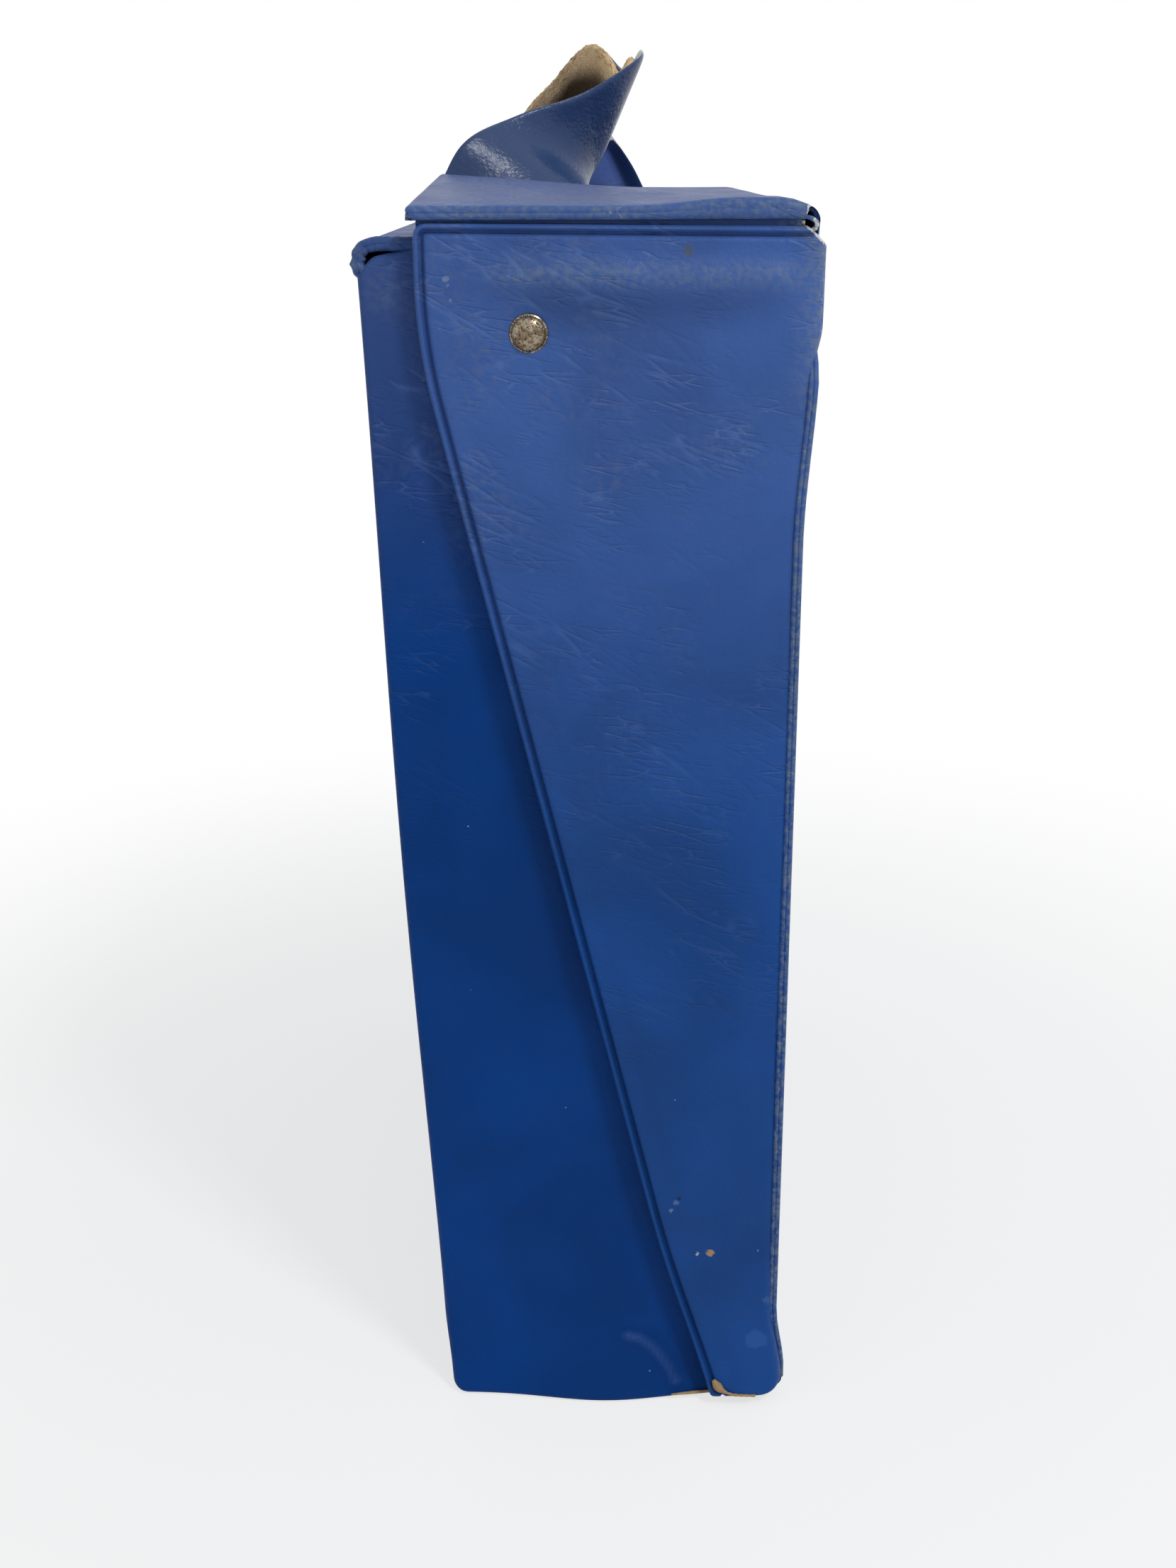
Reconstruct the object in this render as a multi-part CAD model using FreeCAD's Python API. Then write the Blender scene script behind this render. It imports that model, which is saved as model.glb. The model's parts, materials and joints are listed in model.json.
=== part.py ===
import FreeCAD, Part
import math
import os

# Lunch box of vinyl over cardboard, standing upright and closed.
# A tray forms the front, bottom and sides. The lid forms the back, the top and two side flaps,
# swings on a vinyl fold along the bottom back edge, and snaps to the sides of the tray.
# Millimetres. X runs from the front to the back, Y along the box, Z up.
# The origin is on the floor, under the middle of the lid's depth.

# Outside of the closed box
LENGTH = 203.0
LID_DEPTH = 74.0
HEIGHT = 254.0
FOOT_SETBACK = 1.0
FRONT_LEAN = 11.2

# Sheet thicknesses
VINYL = 0.8
BOARD = 2.0
LINER = 0.5
SIDE_BOARD = 1.7
FLAP_BOARD = 1.2
FLAP_LINING = 0.6

# Folds and clearances
FOLD_RADIUS = 3.0
LIP_RADIUS = 4.0
SHELL_GAP = 0.4
FLAP_GAP = 2.2

# Top of the tray: a lip that tucks under the lid, and sides that drop at the front
LIP_TUCK = 7.0
SIDE_TOP_GAP = 1.5
SHOULDER_DROP = 7.2
SHOULDER_RUN = 24.0
SHOULDER_RADIUS = 40.0

# Side flaps of the lid: a short upright edge, then a long slanted edge that flares at its foot
FLAP_FOOT = 2.0
FLAP_TIP = 15.0
FLAP_CORNER_RADIUS = 4.0
KNEE_DROP = 21.0
KNEE_RADIUS = 100.0
FLARE_REACH = 11.4
FLARE_RISE = 34.0
FLARE_RADIUS = 300.0
TIP_RADIUS = 1.5
WELT = 1.6

# Snap fasteners, one on each flap
SNAP_IN = 20.9
SNAP_DROP = 19.1
CAP_RADIUS = 3.3
CAP_CROWN = 1.7
SNAP_POST_RADIUS = 1.45
SNAP_HOLE_CLEARANCE = 0.05
SNAP_FLANGE_RADIUS = 4.0
SNAP_FLANGE = 0.5
STUD_HEAD_RADIUS = 1.9
SNAP_GAP = 0.3

# Strap handle, let into the top through two slits and held below by crimped clips
HANDLE_INSET = 25.0
HANDLE_SKEW = 15.0
HANDLE_SPAN = 109.5
HANDLE_SHIFT = -1.25
HANDLE_RISE = 33.0
STRAP_WIDTH = 28.0
STRAP = 1.2
BACKING = 0.9
BACKING_GAP = 0.6
BACKING_INSET = 0.8
SLIT_CLEARANCE = 0.2
CLIP_WALL = 0.7
CLIP_HEIGHT = 2.1
CLIP_OVERHANG = 1.0

# The limp strap's course, from the near slit to the far one. Each station gives its left and its right edge,
# as a share of the span, an offset from the handle's line in strap widths, and a share of the rise.
STRAP_STATIONS = [
    ((0.01, -0.42, 0.30), (0.05, 0.49, 0.06)),
    ((0.09, -0.06, 0.49), (0.13, 0.45, 0.09)),
    ((0.13, 0.42, 0.63), (0.21, 0.43, 0.14)),
    ((0.17, 0.78, 0.82), (0.28, 0.44, 0.22)),
    ((0.27, 0.78, 0.90), (0.37, 0.44, 0.30)),
    ((0.51, 0.53, 0.82), (0.53, 0.39, 0.35)),
    ((0.69, 0.18, 0.97), (0.71, 0.33, 0.36)),
    ((0.80, -0.17, 0.77), (0.83, 0.30, 0.36)),
    ((0.89, -0.51, 0.53), (0.91, 0.34, 0.29)),
    ((0.95, -0.56, 0.24), (0.96, 0.42, 0.16)),
]
BACKED_STATIONS = range(2, 10)

# Planes of the two shells
half_length = LENGTH / 2
back = LID_DEPTH / 2
lid_left = -LID_DEPTH / 2
lid_wall = VINYL + BOARD + LINER
lid_back_inner = back - lid_wall
lid_top_inner = HEIGHT - lid_wall
lid_foot = VINYL + SHELL_GAP
flap_inner = half_length - VINYL - FLAP_BOARD - FLAP_LINING
flap_right = back - VINYL
side_outer = flap_inner - FLAP_GAP
side_inner = side_outer - VINYL - SIDE_BOARD - LINER
tray_right = lid_back_inner - SHELL_GAP
clip_bottom = lid_top_inner - CLIP_HEIGHT
lip_top = clip_bottom - SHELL_GAP
side_top = lid_top_inner - SIDE_TOP_GAP
front_foot = lid_left + FOOT_SETBACK
floor_stack = VINYL + BOARD + LINER
front_slope = math.hypot(FRONT_LEAN, lip_top) / lip_top
snap_x = lid_left + SNAP_IN
snap_z = lid_top_inner - SNAP_DROP
handle_x = lid_left + HANDLE_INSET
snap_hole_radius = SNAP_POST_RADIUS + SNAP_HOLE_CLEARANCE

pieces = {}


def point(x, z):
    return FreeCAD.Vector(x, 0, z)


def rounded_wire(corners):
    """Closed outline in the XZ plane. Each corner is (x, z, radius), and a radius of 0 is sharp."""
    starts = []
    ends = []
    arcs = []
    for index, (x, z, radius) in enumerate(corners):
        corner = point(x, z)
        before = point(*corners[index - 1][:2]) - corner
        after = point(*corners[(index + 1) % len(corners)][:2]) - corner
        before.normalize()
        after.normalize()
        half_angle = before.getAngle(after) / 2
        reach = radius / math.tan(half_angle)
        starts.append(corner + before * reach)
        ends.append(corner + after * reach)
        if radius > 0:
            inward = before + after
            inward.normalize()
            middle = corner + inward * (radius / math.sin(half_angle) - radius)
            arcs.append(Part.Arc(starts[-1], middle, ends[-1]).toShape())
        else:
            arcs.append(None)
    edges = []
    for index, arc in enumerate(arcs):
        if arc is not None:
            edges.append(arc)
        edges.append(Part.LineSegment(ends[index], starts[(index + 1) % len(corners)]).toShape())
    return Part.Wire(edges)


def inset_corners(corners, distance, closed=True):
    """The corners of a line moved by a distance to the left of its direction of travel."""
    moved = []
    last = len(corners) - 1
    for index, (x, z, radius) in enumerate(corners):
        here = point(x, z)
        normals = []
        if closed or index > 0:
            normals.append(left_normal(point(*corners[index - 1][:2]), here))
        if closed or index < last:
            normals.append(left_normal(here, point(*corners[(index + 1) % len(corners)][:2])))
        shift = normals[0] + normals[-1]
        shift = shift * (distance / (1 + normals[0].dot(normals[-1])))
        moved.append((x + shift.x, z + shift.z, max(radius - distance, 0)))
    return moved


def left_normal(start, end):
    along = end - start
    along.normalize()
    return point(-along.z, along.x)


def prism(corners, y_low, y_high):
    """Outline pulled along Y between two planes."""
    face = Part.Face(rounded_wire(corners))
    face.translate(FreeCAD.Vector(0, y_low, 0))
    return face.extrude(FreeCAD.Vector(0, y_high - y_low, 0))


def block(x_low, x_high, y_low, y_high, z_low, z_high):
    corner = FreeCAD.Vector(x_low, y_low, z_low)
    return Part.makeBox(x_high - x_low, y_high - y_low, z_high - z_low, corner)


def bent_sheet(corners, thickness, y_low, y_high):
    """Sheet that follows an open line, with its thickness to the left of the line."""
    inner = inset_corners(corners, thickness, closed=False)
    return prism(corners + inner[::-1], y_low, y_high)


def layer(corners, side, inner, outer):
    """Panel layer parallel to the ends of the box, between two distances from the middle."""
    return prism(corners, min(side * inner, side * outer), max(side * inner, side * outer))


def snap_disc(radius, side, inner, outer):
    """Round piece on a snap's axis, between two distances from the middle of the box."""
    start = FreeCAD.Vector(snap_x, side * inner, snap_z)
    return Part.makeCylinder(radius, outer - inner, start, FreeCAD.Vector(0, side, 0))


def front_x(z, depth):
    """Place across the box of the plane that lies a depth inside the leaning front."""
    return front_foot - FRONT_LEAN * z / lip_top + depth * front_slope


def front_layer(z_low, z_high, outside, inside):
    corners = [
        (front_x(z_low, outside), z_low, 0),
        (front_x(z_low, inside), z_low, 0),
        (front_x(z_high, inside), z_high, 0),
        (front_x(z_high, outside), z_high, 0),
    ]
    return prism(corners, -side_inner, side_inner)


# Tray: front and bottom
def make_wrap_skin():
    """One sheet of vinyl for the lip, the front and the bottom."""
    line = [
        (lid_left + LIP_TUCK, lip_top, 0),
        (front_x(lip_top, 0), lip_top, LIP_RADIUS),
        (front_foot, 0, FOLD_RADIUS),
        (back - SHELL_GAP, 0, 0),
    ]
    pieces["body_wrap_skin"] = bent_sheet(line, VINYL, -side_inner, side_inner)


def make_front_and_bottom():
    board_top = lip_top - LIP_RADIUS
    pieces["front_board"] = front_layer(floor_stack, board_top, VINYL, VINYL + BOARD)
    pieces["front_liner"] = front_layer(floor_stack, board_top, VINYL + BOARD, VINYL + BOARD + LINER)
    floor_left = front_foot + FOLD_RADIUS
    pieces["bottom_board"] = block(
        floor_left, tray_right, -side_inner, side_inner, VINYL, VINYL + BOARD)
    pieces["bottom_liner"] = block(
        floor_left, tray_right, -side_inner, side_inner, VINYL + BOARD, floor_stack)


# Tray: sides
def side_outline():
    shoulder_z = side_top - SHOULDER_DROP
    shoulder_x = front_x(shoulder_z, 0)
    return [
        (front_foot, 0, FOLD_RADIUS),
        (tray_right, 0, 0),
        (tray_right, side_top, FOLD_RADIUS),
        (shoulder_x + SHOULDER_RUN, side_top, SHOULDER_RADIUS),
        (shoulder_x, shoulder_z, FOLD_RADIUS),
    ]


def make_side(name, side):
    """Vinyl turned over the edges of a board, with a liner on the inside."""
    outline = side_outline()
    inside = inset_corners(outline, VINYL)
    board_outer = side_outer - VINYL
    board_inner = board_outer - SIDE_BOARD
    post_hole = snap_disc(snap_hole_radius, side, side_inner, side_outer)
    skin = layer(outline, side, side_inner, side_outer)
    skin = skin.cut(layer(inside, side, side_inner, board_outer))
    pieces[name + "_side_skin"] = skin.cut(post_hole)
    pieces[name + "_side_board"] = layer(inside, side, board_inner, board_outer).cut(post_hole)
    pieces[name + "_side_liner"] = layer(inside, side, side_inner, board_inner).cut(post_hole)


# Lid: back and top
def make_lid_cover():
    """One sheet of vinyl for the back and the top, turned down over the free edges of the top."""
    line = [
        (back, lid_foot, 0),
        (back, HEIGHT, FOLD_RADIUS),
        (lid_left, HEIGHT, 0),
    ]
    cover = bent_sheet(line, VINYL, -half_length, half_length)
    hem_top = HEIGHT - VINYL / 2
    hem_right = back - FOLD_RADIUS
    rim = block(lid_left, hem_right, -half_length, half_length, lid_top_inner, hem_top)
    board_room = block(
        lid_left + VINYL, hem_right, VINYL - half_length, half_length - VINYL, lid_top_inner, hem_top)
    cover = cover.fuse(rim.cut(board_room)).removeSplitter()
    pieces["lid_cover_skin"] = cut_slits(cover)


def make_lid_boards():
    pieces["lid_back_board"] = block(
        back - VINYL - BOARD, back - VINYL, -flap_inner, flap_inner, lid_foot, lid_top_inner)
    pieces["lid_back_liner"] = block(
        lid_back_inner, back - VINYL - BOARD, -flap_inner, flap_inner, lid_foot, lid_top_inner)
    top_left = lid_left + VINYL
    top_right = back - FOLD_RADIUS
    top_end = half_length - VINYL
    board_bottom = lid_top_inner + LINER
    pieces["lid_top_board"] = cut_slits(
        block(top_left, top_right, -top_end, top_end, board_bottom, HEIGHT - VINYL))
    pieces["lid_top_liner"] = cut_slits(
        block(top_left, top_right, -top_end, top_end, lid_top_inner, board_bottom))


# Lid: side flaps
def flap_outline(right):
    tip = flap_right - FLAP_TIP
    return [
        (right, FLAP_FOOT, 0),
        (right, lid_top_inner, 0),
        (lid_left, lid_top_inner, FLAP_CORNER_RADIUS),
        (lid_left, lid_top_inner - KNEE_DROP, KNEE_RADIUS),
        (tip - FLARE_REACH, FLAP_FOOT + FLARE_RISE, FLARE_RADIUS),
        (tip, FLAP_FOOT, TIP_RADIUS),
    ]


def make_flap(name, side):
    """Board between two sheets of vinyl, which are sealed into a welt along the free edges."""
    panel = inset_corners(flap_outline(flap_right + WELT), WELT)
    board_outer = half_length - VINYL
    lining_outer = flap_inner + FLAP_LINING
    post_hole = snap_disc(snap_hole_radius, side, flap_inner, half_length)
    socket_seat = snap_disc(SNAP_FLANGE_RADIUS, side, flap_inner, flap_inner + SNAP_FLANGE)
    welt = layer(flap_outline(flap_right), side, flap_inner, half_length)
    pieces[name + "_flap_welt"] = welt.cut(layer(panel, side, flap_inner, half_length))
    pieces[name + "_flap_skin"] = layer(panel, side, board_outer, half_length).cut(post_hole)
    pieces[name + "_flap_board"] = layer(panel, side, lining_outer, board_outer).cut(post_hole)
    lining = layer(panel, side, flap_inner, lining_outer)
    pieces[name + "_flap_lining"] = lining.cut(post_hole).cut(socket_seat)


# Snap fasteners
def make_snap(name, side):
    """Domed cap and socket on the flap, and a stud with its washer on the side of the tray."""
    sphere_radius = (CAP_RADIUS ** 2 + CAP_CROWN ** 2) / (2 * CAP_CROWN)
    rim_height = sphere_radius - CAP_CROWN
    rim_latitude = math.degrees(math.asin(rim_height / sphere_radius))
    sphere_centre = FreeCAD.Vector(snap_x, side * (half_length - rim_height), snap_z)
    outward = FreeCAD.Vector(0, side, 0)
    dome = Part.makeSphere(sphere_radius, sphere_centre, outward, rim_latitude, 90, 360)
    cap_post = snap_disc(SNAP_POST_RADIUS, side, flap_inner, half_length)
    pieces[name + "_snap_cap"] = dome.fuse(cap_post).removeSplitter()
    socket = snap_disc(SNAP_FLANGE_RADIUS, side, flap_inner, flap_inner + SNAP_FLANGE)
    socket_hole = snap_disc(snap_hole_radius, side, flap_inner, flap_inner + SNAP_FLANGE)
    pieces[name + "_snap_socket"] = socket.cut(socket_hole)
    head = snap_disc(STUD_HEAD_RADIUS, side, side_outer, flap_inner - SNAP_GAP)
    flange = snap_disc(SNAP_FLANGE_RADIUS, side, side_outer, side_outer + SNAP_FLANGE)
    washer_inner = side_inner - SNAP_FLANGE
    stud_post = snap_disc(SNAP_POST_RADIUS, side, washer_inner, side_outer)
    pieces[name + "_snap_stud"] = flange.multiFuse([head, stud_post]).removeSplitter()
    washer = snap_disc(SNAP_FLANGE_RADIUS, side, washer_inner, side_inner)
    pieces[name + "_snap_washer"] = washer.cut(snap_disc(snap_hole_radius, side, washer_inner, side_inner))


# Handle
def handle_end(side):
    """Middle of a slit across and along the box: -1 is the near slit and 1 is the far one."""
    return handle_x + side * HANDLE_SKEW / 2, HANDLE_SHIFT + side * HANDLE_SPAN / 2


def slit_block(side, width, thickness, z_low, z_high):
    x, y = handle_end(side)
    return block(x - width / 2, x + width / 2, y - thickness / 2, y + thickness / 2, z_low, z_high)


def cut_slits(panel):
    width = STRAP_WIDTH + 2 * SLIT_CLEARANCE
    thickness = STRAP + 2 * SLIT_CLEARANCE
    for side in (-1, 1):
        panel = panel.cut(slit_block(side, width, thickness, lid_top_inner, HEIGHT))
    return panel


def strap_edge(share, across, rise):
    near_x, near_y = handle_end(-1)
    far_x, far_y = handle_end(1)
    x = near_x + (far_x - near_x) * share + across * STRAP_WIDTH
    y = near_y + (far_y - near_y) * share
    return FreeCAD.Vector(x, y, HEIGHT + rise * HANDLE_RISE)


def strap_edges():
    """Left and right edge of the strap at each slit and at each station between them."""
    near_slit = ((0, -0.5, 0), (0, 0.5, 0))
    far_slit = ((1, -0.5, 0), (1, 0.5, 0))
    stations = [near_slit] + STRAP_STATIONS + [far_slit]
    return [(strap_edge(*left), strap_edge(*right)) for left, right in stations]


def strap_outward(edges, index):
    """Direction out of the strap's vinyl face, which is level where the strap leaves its slits."""
    if index == 0:
        return FreeCAD.Vector(0, -1, 0)
    if index == len(edges) - 1:
        return FreeCAD.Vector(0, 1, 0)
    left, right = edges[index]
    along = edges[index + 1][0] + edges[index + 1][1] - edges[index - 1][0] - edges[index - 1][1]
    outward = (right - left).cross(along)
    outward.normalize()
    return outward


def strap_loft(stations, outside, inside, margin):
    """Ribbon between two depths from the strap's middle sheet, narrower than the strap by a margin."""
    edges = strap_edges()
    sections = []
    for index in stations:
        left, right = edges[index]
        across = right - left
        across.normalize()
        left = left + across * margin
        right = right - across * margin
        outward = strap_outward(edges, index)
        corners = [left + outward * outside, right + outward * outside]
        corners += [right + outward * inside, left + outward * inside]
        sections.append(Part.makePolygon(corners + corners[:1]))
    return Part.makeLoft(sections, True, False)


def make_handle():
    arch = strap_loft(range(len(STRAP_STATIONS) + 2), STRAP / 2, -STRAP / 2, 0)
    legs = [slit_block(side, STRAP_WIDTH, STRAP, clip_bottom + CLIP_WALL, HEIGHT) for side in (-1, 1)]
    pieces["handle_strap"] = arch.multiFuse(legs)
    backing_face = -STRAP / 2 - BACKING_GAP
    pieces["handle_backing"] = strap_loft(
        BACKED_STATIONS, backing_face, backing_face - BACKING, BACKING_INSET)


def make_clip(name, side):
    """Steel channel crimped on the end of the strap, wider than the slit above it."""
    width = STRAP_WIDTH + 2 * CLIP_OVERHANG
    channel = slit_block(side, width, STRAP + 2 * CLIP_WALL, clip_bottom, lid_top_inner)
    groove = slit_block(side, width, STRAP, clip_bottom + CLIP_WALL, lid_top_inner)
    pieces[name + "_handle_clip"] = channel.cut(groove)


make_wrap_skin()
make_front_and_bottom()
make_lid_cover()
make_lid_boards()
make_handle()
for end_name, end_side in (("near", -1), ("far", 1)):
    make_side(end_name, end_side)
    make_flap(end_name, end_side)
    make_snap(end_name, end_side)
    make_clip(end_name, end_side)

os.makedirs("parts", exist_ok=True)
for piece_name, shape in pieces.items():
    shape.exportStep("parts/" + piece_name + ".step")
    print(piece_name, len(shape.Solids), "solid", shape.isValid(), round(shape.Volume, 1), "mm3")
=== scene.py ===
import json
import math

import bmesh
import bpy
import numpy as np
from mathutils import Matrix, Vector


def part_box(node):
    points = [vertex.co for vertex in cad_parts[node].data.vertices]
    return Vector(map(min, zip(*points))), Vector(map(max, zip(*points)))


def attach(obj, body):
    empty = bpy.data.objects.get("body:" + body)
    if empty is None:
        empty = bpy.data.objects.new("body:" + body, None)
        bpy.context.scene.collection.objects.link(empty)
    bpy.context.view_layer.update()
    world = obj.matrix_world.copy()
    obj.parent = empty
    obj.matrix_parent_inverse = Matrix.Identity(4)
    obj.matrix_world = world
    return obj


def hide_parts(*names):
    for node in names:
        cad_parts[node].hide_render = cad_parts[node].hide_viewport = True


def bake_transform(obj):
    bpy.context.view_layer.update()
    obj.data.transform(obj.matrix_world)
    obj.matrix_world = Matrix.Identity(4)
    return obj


# Looks of a worn vinyl lunch box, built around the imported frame.
# Sizes are in millimetres, and are turned into metres where a mesh is made.
# X runs from the front to the back, Y along the box away from the photographed end, Z up.
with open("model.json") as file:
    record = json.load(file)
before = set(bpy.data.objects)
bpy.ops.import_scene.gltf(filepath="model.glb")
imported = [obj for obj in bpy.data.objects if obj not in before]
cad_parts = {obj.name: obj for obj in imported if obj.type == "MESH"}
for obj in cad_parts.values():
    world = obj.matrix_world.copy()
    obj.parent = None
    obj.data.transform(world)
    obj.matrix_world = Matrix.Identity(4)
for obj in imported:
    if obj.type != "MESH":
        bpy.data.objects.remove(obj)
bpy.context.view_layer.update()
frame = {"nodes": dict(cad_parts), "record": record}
MM = 0.001

# Sheets, welts and folds
VINYL = 0.8
BEAD = 1.5
BEAD_RISE = 0.55
BEAD_GROOVE = 0.65
PANEL_ROLL = 0.4
SHUT_RIM = 0.15
FLAP_FOLD_RADIUS = 2.6
TOP_FOLD_RADIUS = 4.2
FLAP_TOP_RISE = 0.5
FLAP_TOP_DROP = 0.4
GROOVE_DEPTH = 0.7
GROOVE_TUCK = 1.0
GROOVE_SHARES = (0.12, 0.3, 0.5, 0.75, 1.0)
RIM_HEIGHT = 1.75
RIM_OVERLAP = 0.35
BACK_BOARD = 1.9
BACK_DRAW = 2.0
TEAR_FOOT = 247.6
RIM_TUCK = 3.2
RIM_TURNS = np.radians([-90, -65, -40, -18, 0, 18, 36, 54, 72, 90])
RIM_REACH = 1.2
BACK_RIM_HEIGHT = 1.3
TEAR_EDGE = 38.0
TEAR_SLOPE = 1.1
TEAR_DEPTH = 2.6
HEM_RISE = 0.75
BACK_WELD = 0.55
FRONT_WELD = 0.5
WELD_INSET = 7.0
WELD_WIDTH = 1.1
HINGE_REACH = 4.0
HINGE_RISE = 4.0
HINGE_RADIUS = 2.2
HINGE_PLAY = 0.1
HINGE_INSET = 2.0
HINGE_BULGE = 0.35

# Outline of a flap and of a tray side
FLAP_TIP = 15.0
FLAP_CORNER_RADIUS = 2.6
KNEE_DROP = 21.0
KNEE_RADIUS = 100.0
FLARE_REACH = 11.4
FLARE_RISE = 34.0
FLARE_RADIUS = 300.0
TIP_RADIUS = 1.5
FLAP_HEEL_RADIUS = 4.0
FLAP_SOLE_RADIUS = 1.2
FOOT_SETBACK = 1.0
FRONT_LEAN = 11.2
FRONT_BULGE = 0.9
FRONT_BOW = 1.2
FOOT_FLARE = 5.2
FOOT_SAG = 3.4
FOOT_FLARE_HEIGHT = 14.0
FAR_FLARE_SHARE = 0.3
COVER_OVERHANG = 1.2
RIM_BULGE = 0.8
COVER_CORNER_RADIUS = 1.6
FOLD_RADIUS = 3.0
LIP_RADIUS = 4.0
SHOULDER_DROP = 7.2
SHOULDER_RUN = 24.0
SHOULDER_STEP = 3.0
SHOULDER_RADIUS = 40.0
LIP_TUCK = 7.0
LIP_REACH = 2.7
WRAP_TUCK = 2.0
WRAP_SET_IN = 0.9
EAR_HEIGHT = 244.0
SIDE_STACK = 3.0
SIDE_EDGE_RADIUS = 1.4

# Relief of the soft panels. Heights are above the table. A pair is where a form starts and where it is full.
FOLD_BULGE = 0.6
TOP_BULGE = 1.6
TOP_BULGE_HEIGHTS = (224, 233)
DRAWN_BELOW = (228, 192)
DRAWN_ABOVE = (6, 22)
RIDGE_HEIGHT = 241.2
RIDGE_RISE = 1.9
RIDGE_WIDTH = 3.8
HOLLOW_HEIGHT = 234.0
HOLLOW_DEPTH = 0.7
HOLLOW_WIDTH = 4.0
PANEL_SWELL = 0.45
SIDE_SWELL = 0.5
SNAP_SEAT_DEPTH = 0.35
SNAP_SEAT_RADIUS = 5.5
BACK_CUSHION = 1.3
FRONT_CUSHION = 1.2
NEAR_PULL = 2.6
NEAR_PULL_SLANT = 0.072
FAR_PULL = 1.2
CORNER_SWELL = 1.3

# Crease in the near side's foot, as places across the box and up
CREASE = np.array([(2.9, 14.2), (5.6, 13.5), (8.1, 11.9), (9.8, 10.2), (11.1, 8.4), (12.6, 6.2), (13.5, 4.0)])

# Snap cap, from its rim to its crown: radius and rise at each ring
CAP_PROFILE = [
    (3.0, -0.9), (3.55, 0.0), (3.62, 0.18), (3.5, 0.36), (3.3, 0.40), (3.22, 0.48),
    (3.05, 0.72), (2.7, 1.02), (2.2, 1.32), (1.6, 1.53), (0.9, 1.66), (0.3, 1.70),
]

# Strap: stations from the near slit to the far one, each with its left and its right edge,
# as a share of the span, an offset from the handle's line in strap widths, and a share of the rise
STRAP_WIDTH = 28.0
STRAP = 1.2
HANDLE_RISE = 33.0
STRAP_LEG = 3.0
BACKING = 1.6
BACKING_INSET = -2.4
BACKING_OVERHANG = 1.2
BACKING_TAPER = 0.5
STRAP_STATIONS = [
    ((0.00, -0.55, 0.10), (0.00, 0.50, 0.00)),
    ((0.01, -0.42, 0.30), (0.05, 0.49, 0.06)),
    ((0.09, -0.06, 0.49), (0.13, 0.45, 0.09)),
    ((0.13, 0.42, 0.63), (0.21, 0.43, 0.14)),
    ((0.17, 0.78, 0.82), (0.28, 0.44, 0.22)),
    ((0.27, 0.78, 0.90), (0.37, 0.44, 0.30)),
    ((0.51, 0.53, 0.82), (0.53, 0.39, 0.35)),
    ((0.69, 0.18, 0.97), (0.71, 0.33, 0.36)),
    ((0.80, -0.17, 0.77), (0.83, 0.30, 0.36)),
    ((0.89, -0.51, 0.53), (0.91, 0.34, 0.29)),
    ((0.95, -0.56, 0.24), (0.96, 0.42, 0.16)),
    ((1.00, -0.50, 0.00), (1.00, 0.50, 0.00)),
]
BACKED_STATIONS = (2, 9)
TIP_STATION = 5

# Mesh spacing: steps from an edge inwards, then a coarser step between the edges
EDGE_STEPS = (0, 0.06, 0.2, 0.4, 0.65, 0.9, 1.15, 1.4, 1.6, 1.8, 2.05, 2.4, 2.9, 3.6, 4.6)
FOLD_STEPS = (0, 0.08, 0.25, 0.5, 0.8, 1.2, 1.7, 2.3, 3.0, 4.0)
ARC_STEPS = 10
CAP_STEPS = 48
STRAP_STEPS = 170
STRAP_COLUMNS = 26
BACKING_COLUMNS = 40
TUBE_SIDES = 12
WAVES = 9

# Camera fitted to the photograph, whose height is the sensor's
FOCAL_LENGTH = 42.03
SENSOR_HEIGHT = 36.0
CAMERA_PLACE = (-5.1, -445.7, 262.2)
CAMERA_PITCH = 71.09
CAMERA_ROLL = 0.2

# Colours, as linear red, green and blue
# In each pair the low colour is at the foot and the high one at the top: the paler top is painted light
LID_LOW = (0.006, 0.058, 0.245)
LID_HIGH = (0.046, 0.108, 0.330)
TRAY_LOW = (0.0005, 0.041, 0.205)
TRAY_HIGH = (0.036, 0.078, 0.245)
STRAP_COLOR = (0.018, 0.048, 0.140)
BARE_CORE = (0.66, 0.66, 0.63)
LIGHT_BOARD = (0.56, 0.39, 0.20)
BARE_BOARD = (0.30, 0.185, 0.085)
# Dark board inside the box, painted shade where it shows in gaps
PAINTED_SHADE_BOARD = (0.055, 0.045, 0.032)
DARK_BOARD = (0.022, 0.018, 0.014)
TAN = (0.42, 0.27, 0.13)
PALE_SCUFF = (0.30, 0.37, 0.46)
# Painted sheen in mottled patches on the upper parts
PAINTED_SHEEN_COLOR = (0.105, 0.145, 0.290)
# Painted highlight and dust along the crease lines
CREASE_DUST_AND_HIGHLIGHT_COLOR = (0.14, 0.24, 0.54)
SPECK_COLOR = (0.45, 0.50, 0.60)
# Painted shade for the flaps' grooves and the hollow under their ridge
PAINTED_SHADE_COLOR = (0.004, 0.013, 0.045)
# Painted light: the lit face of the strap's far leg and a highlight along the tray's crease
PAINTED_LIGHT_COLOR = (0.32, 0.48, 0.95)
DUST_COLOR = (0.20, 0.21, 0.29)
# Rubbed places, and the painted highlight along the flaps' ridge
RUBBED_AND_HIGHLIGHT_COLOR = (0.135, 0.185, 0.275)

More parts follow.
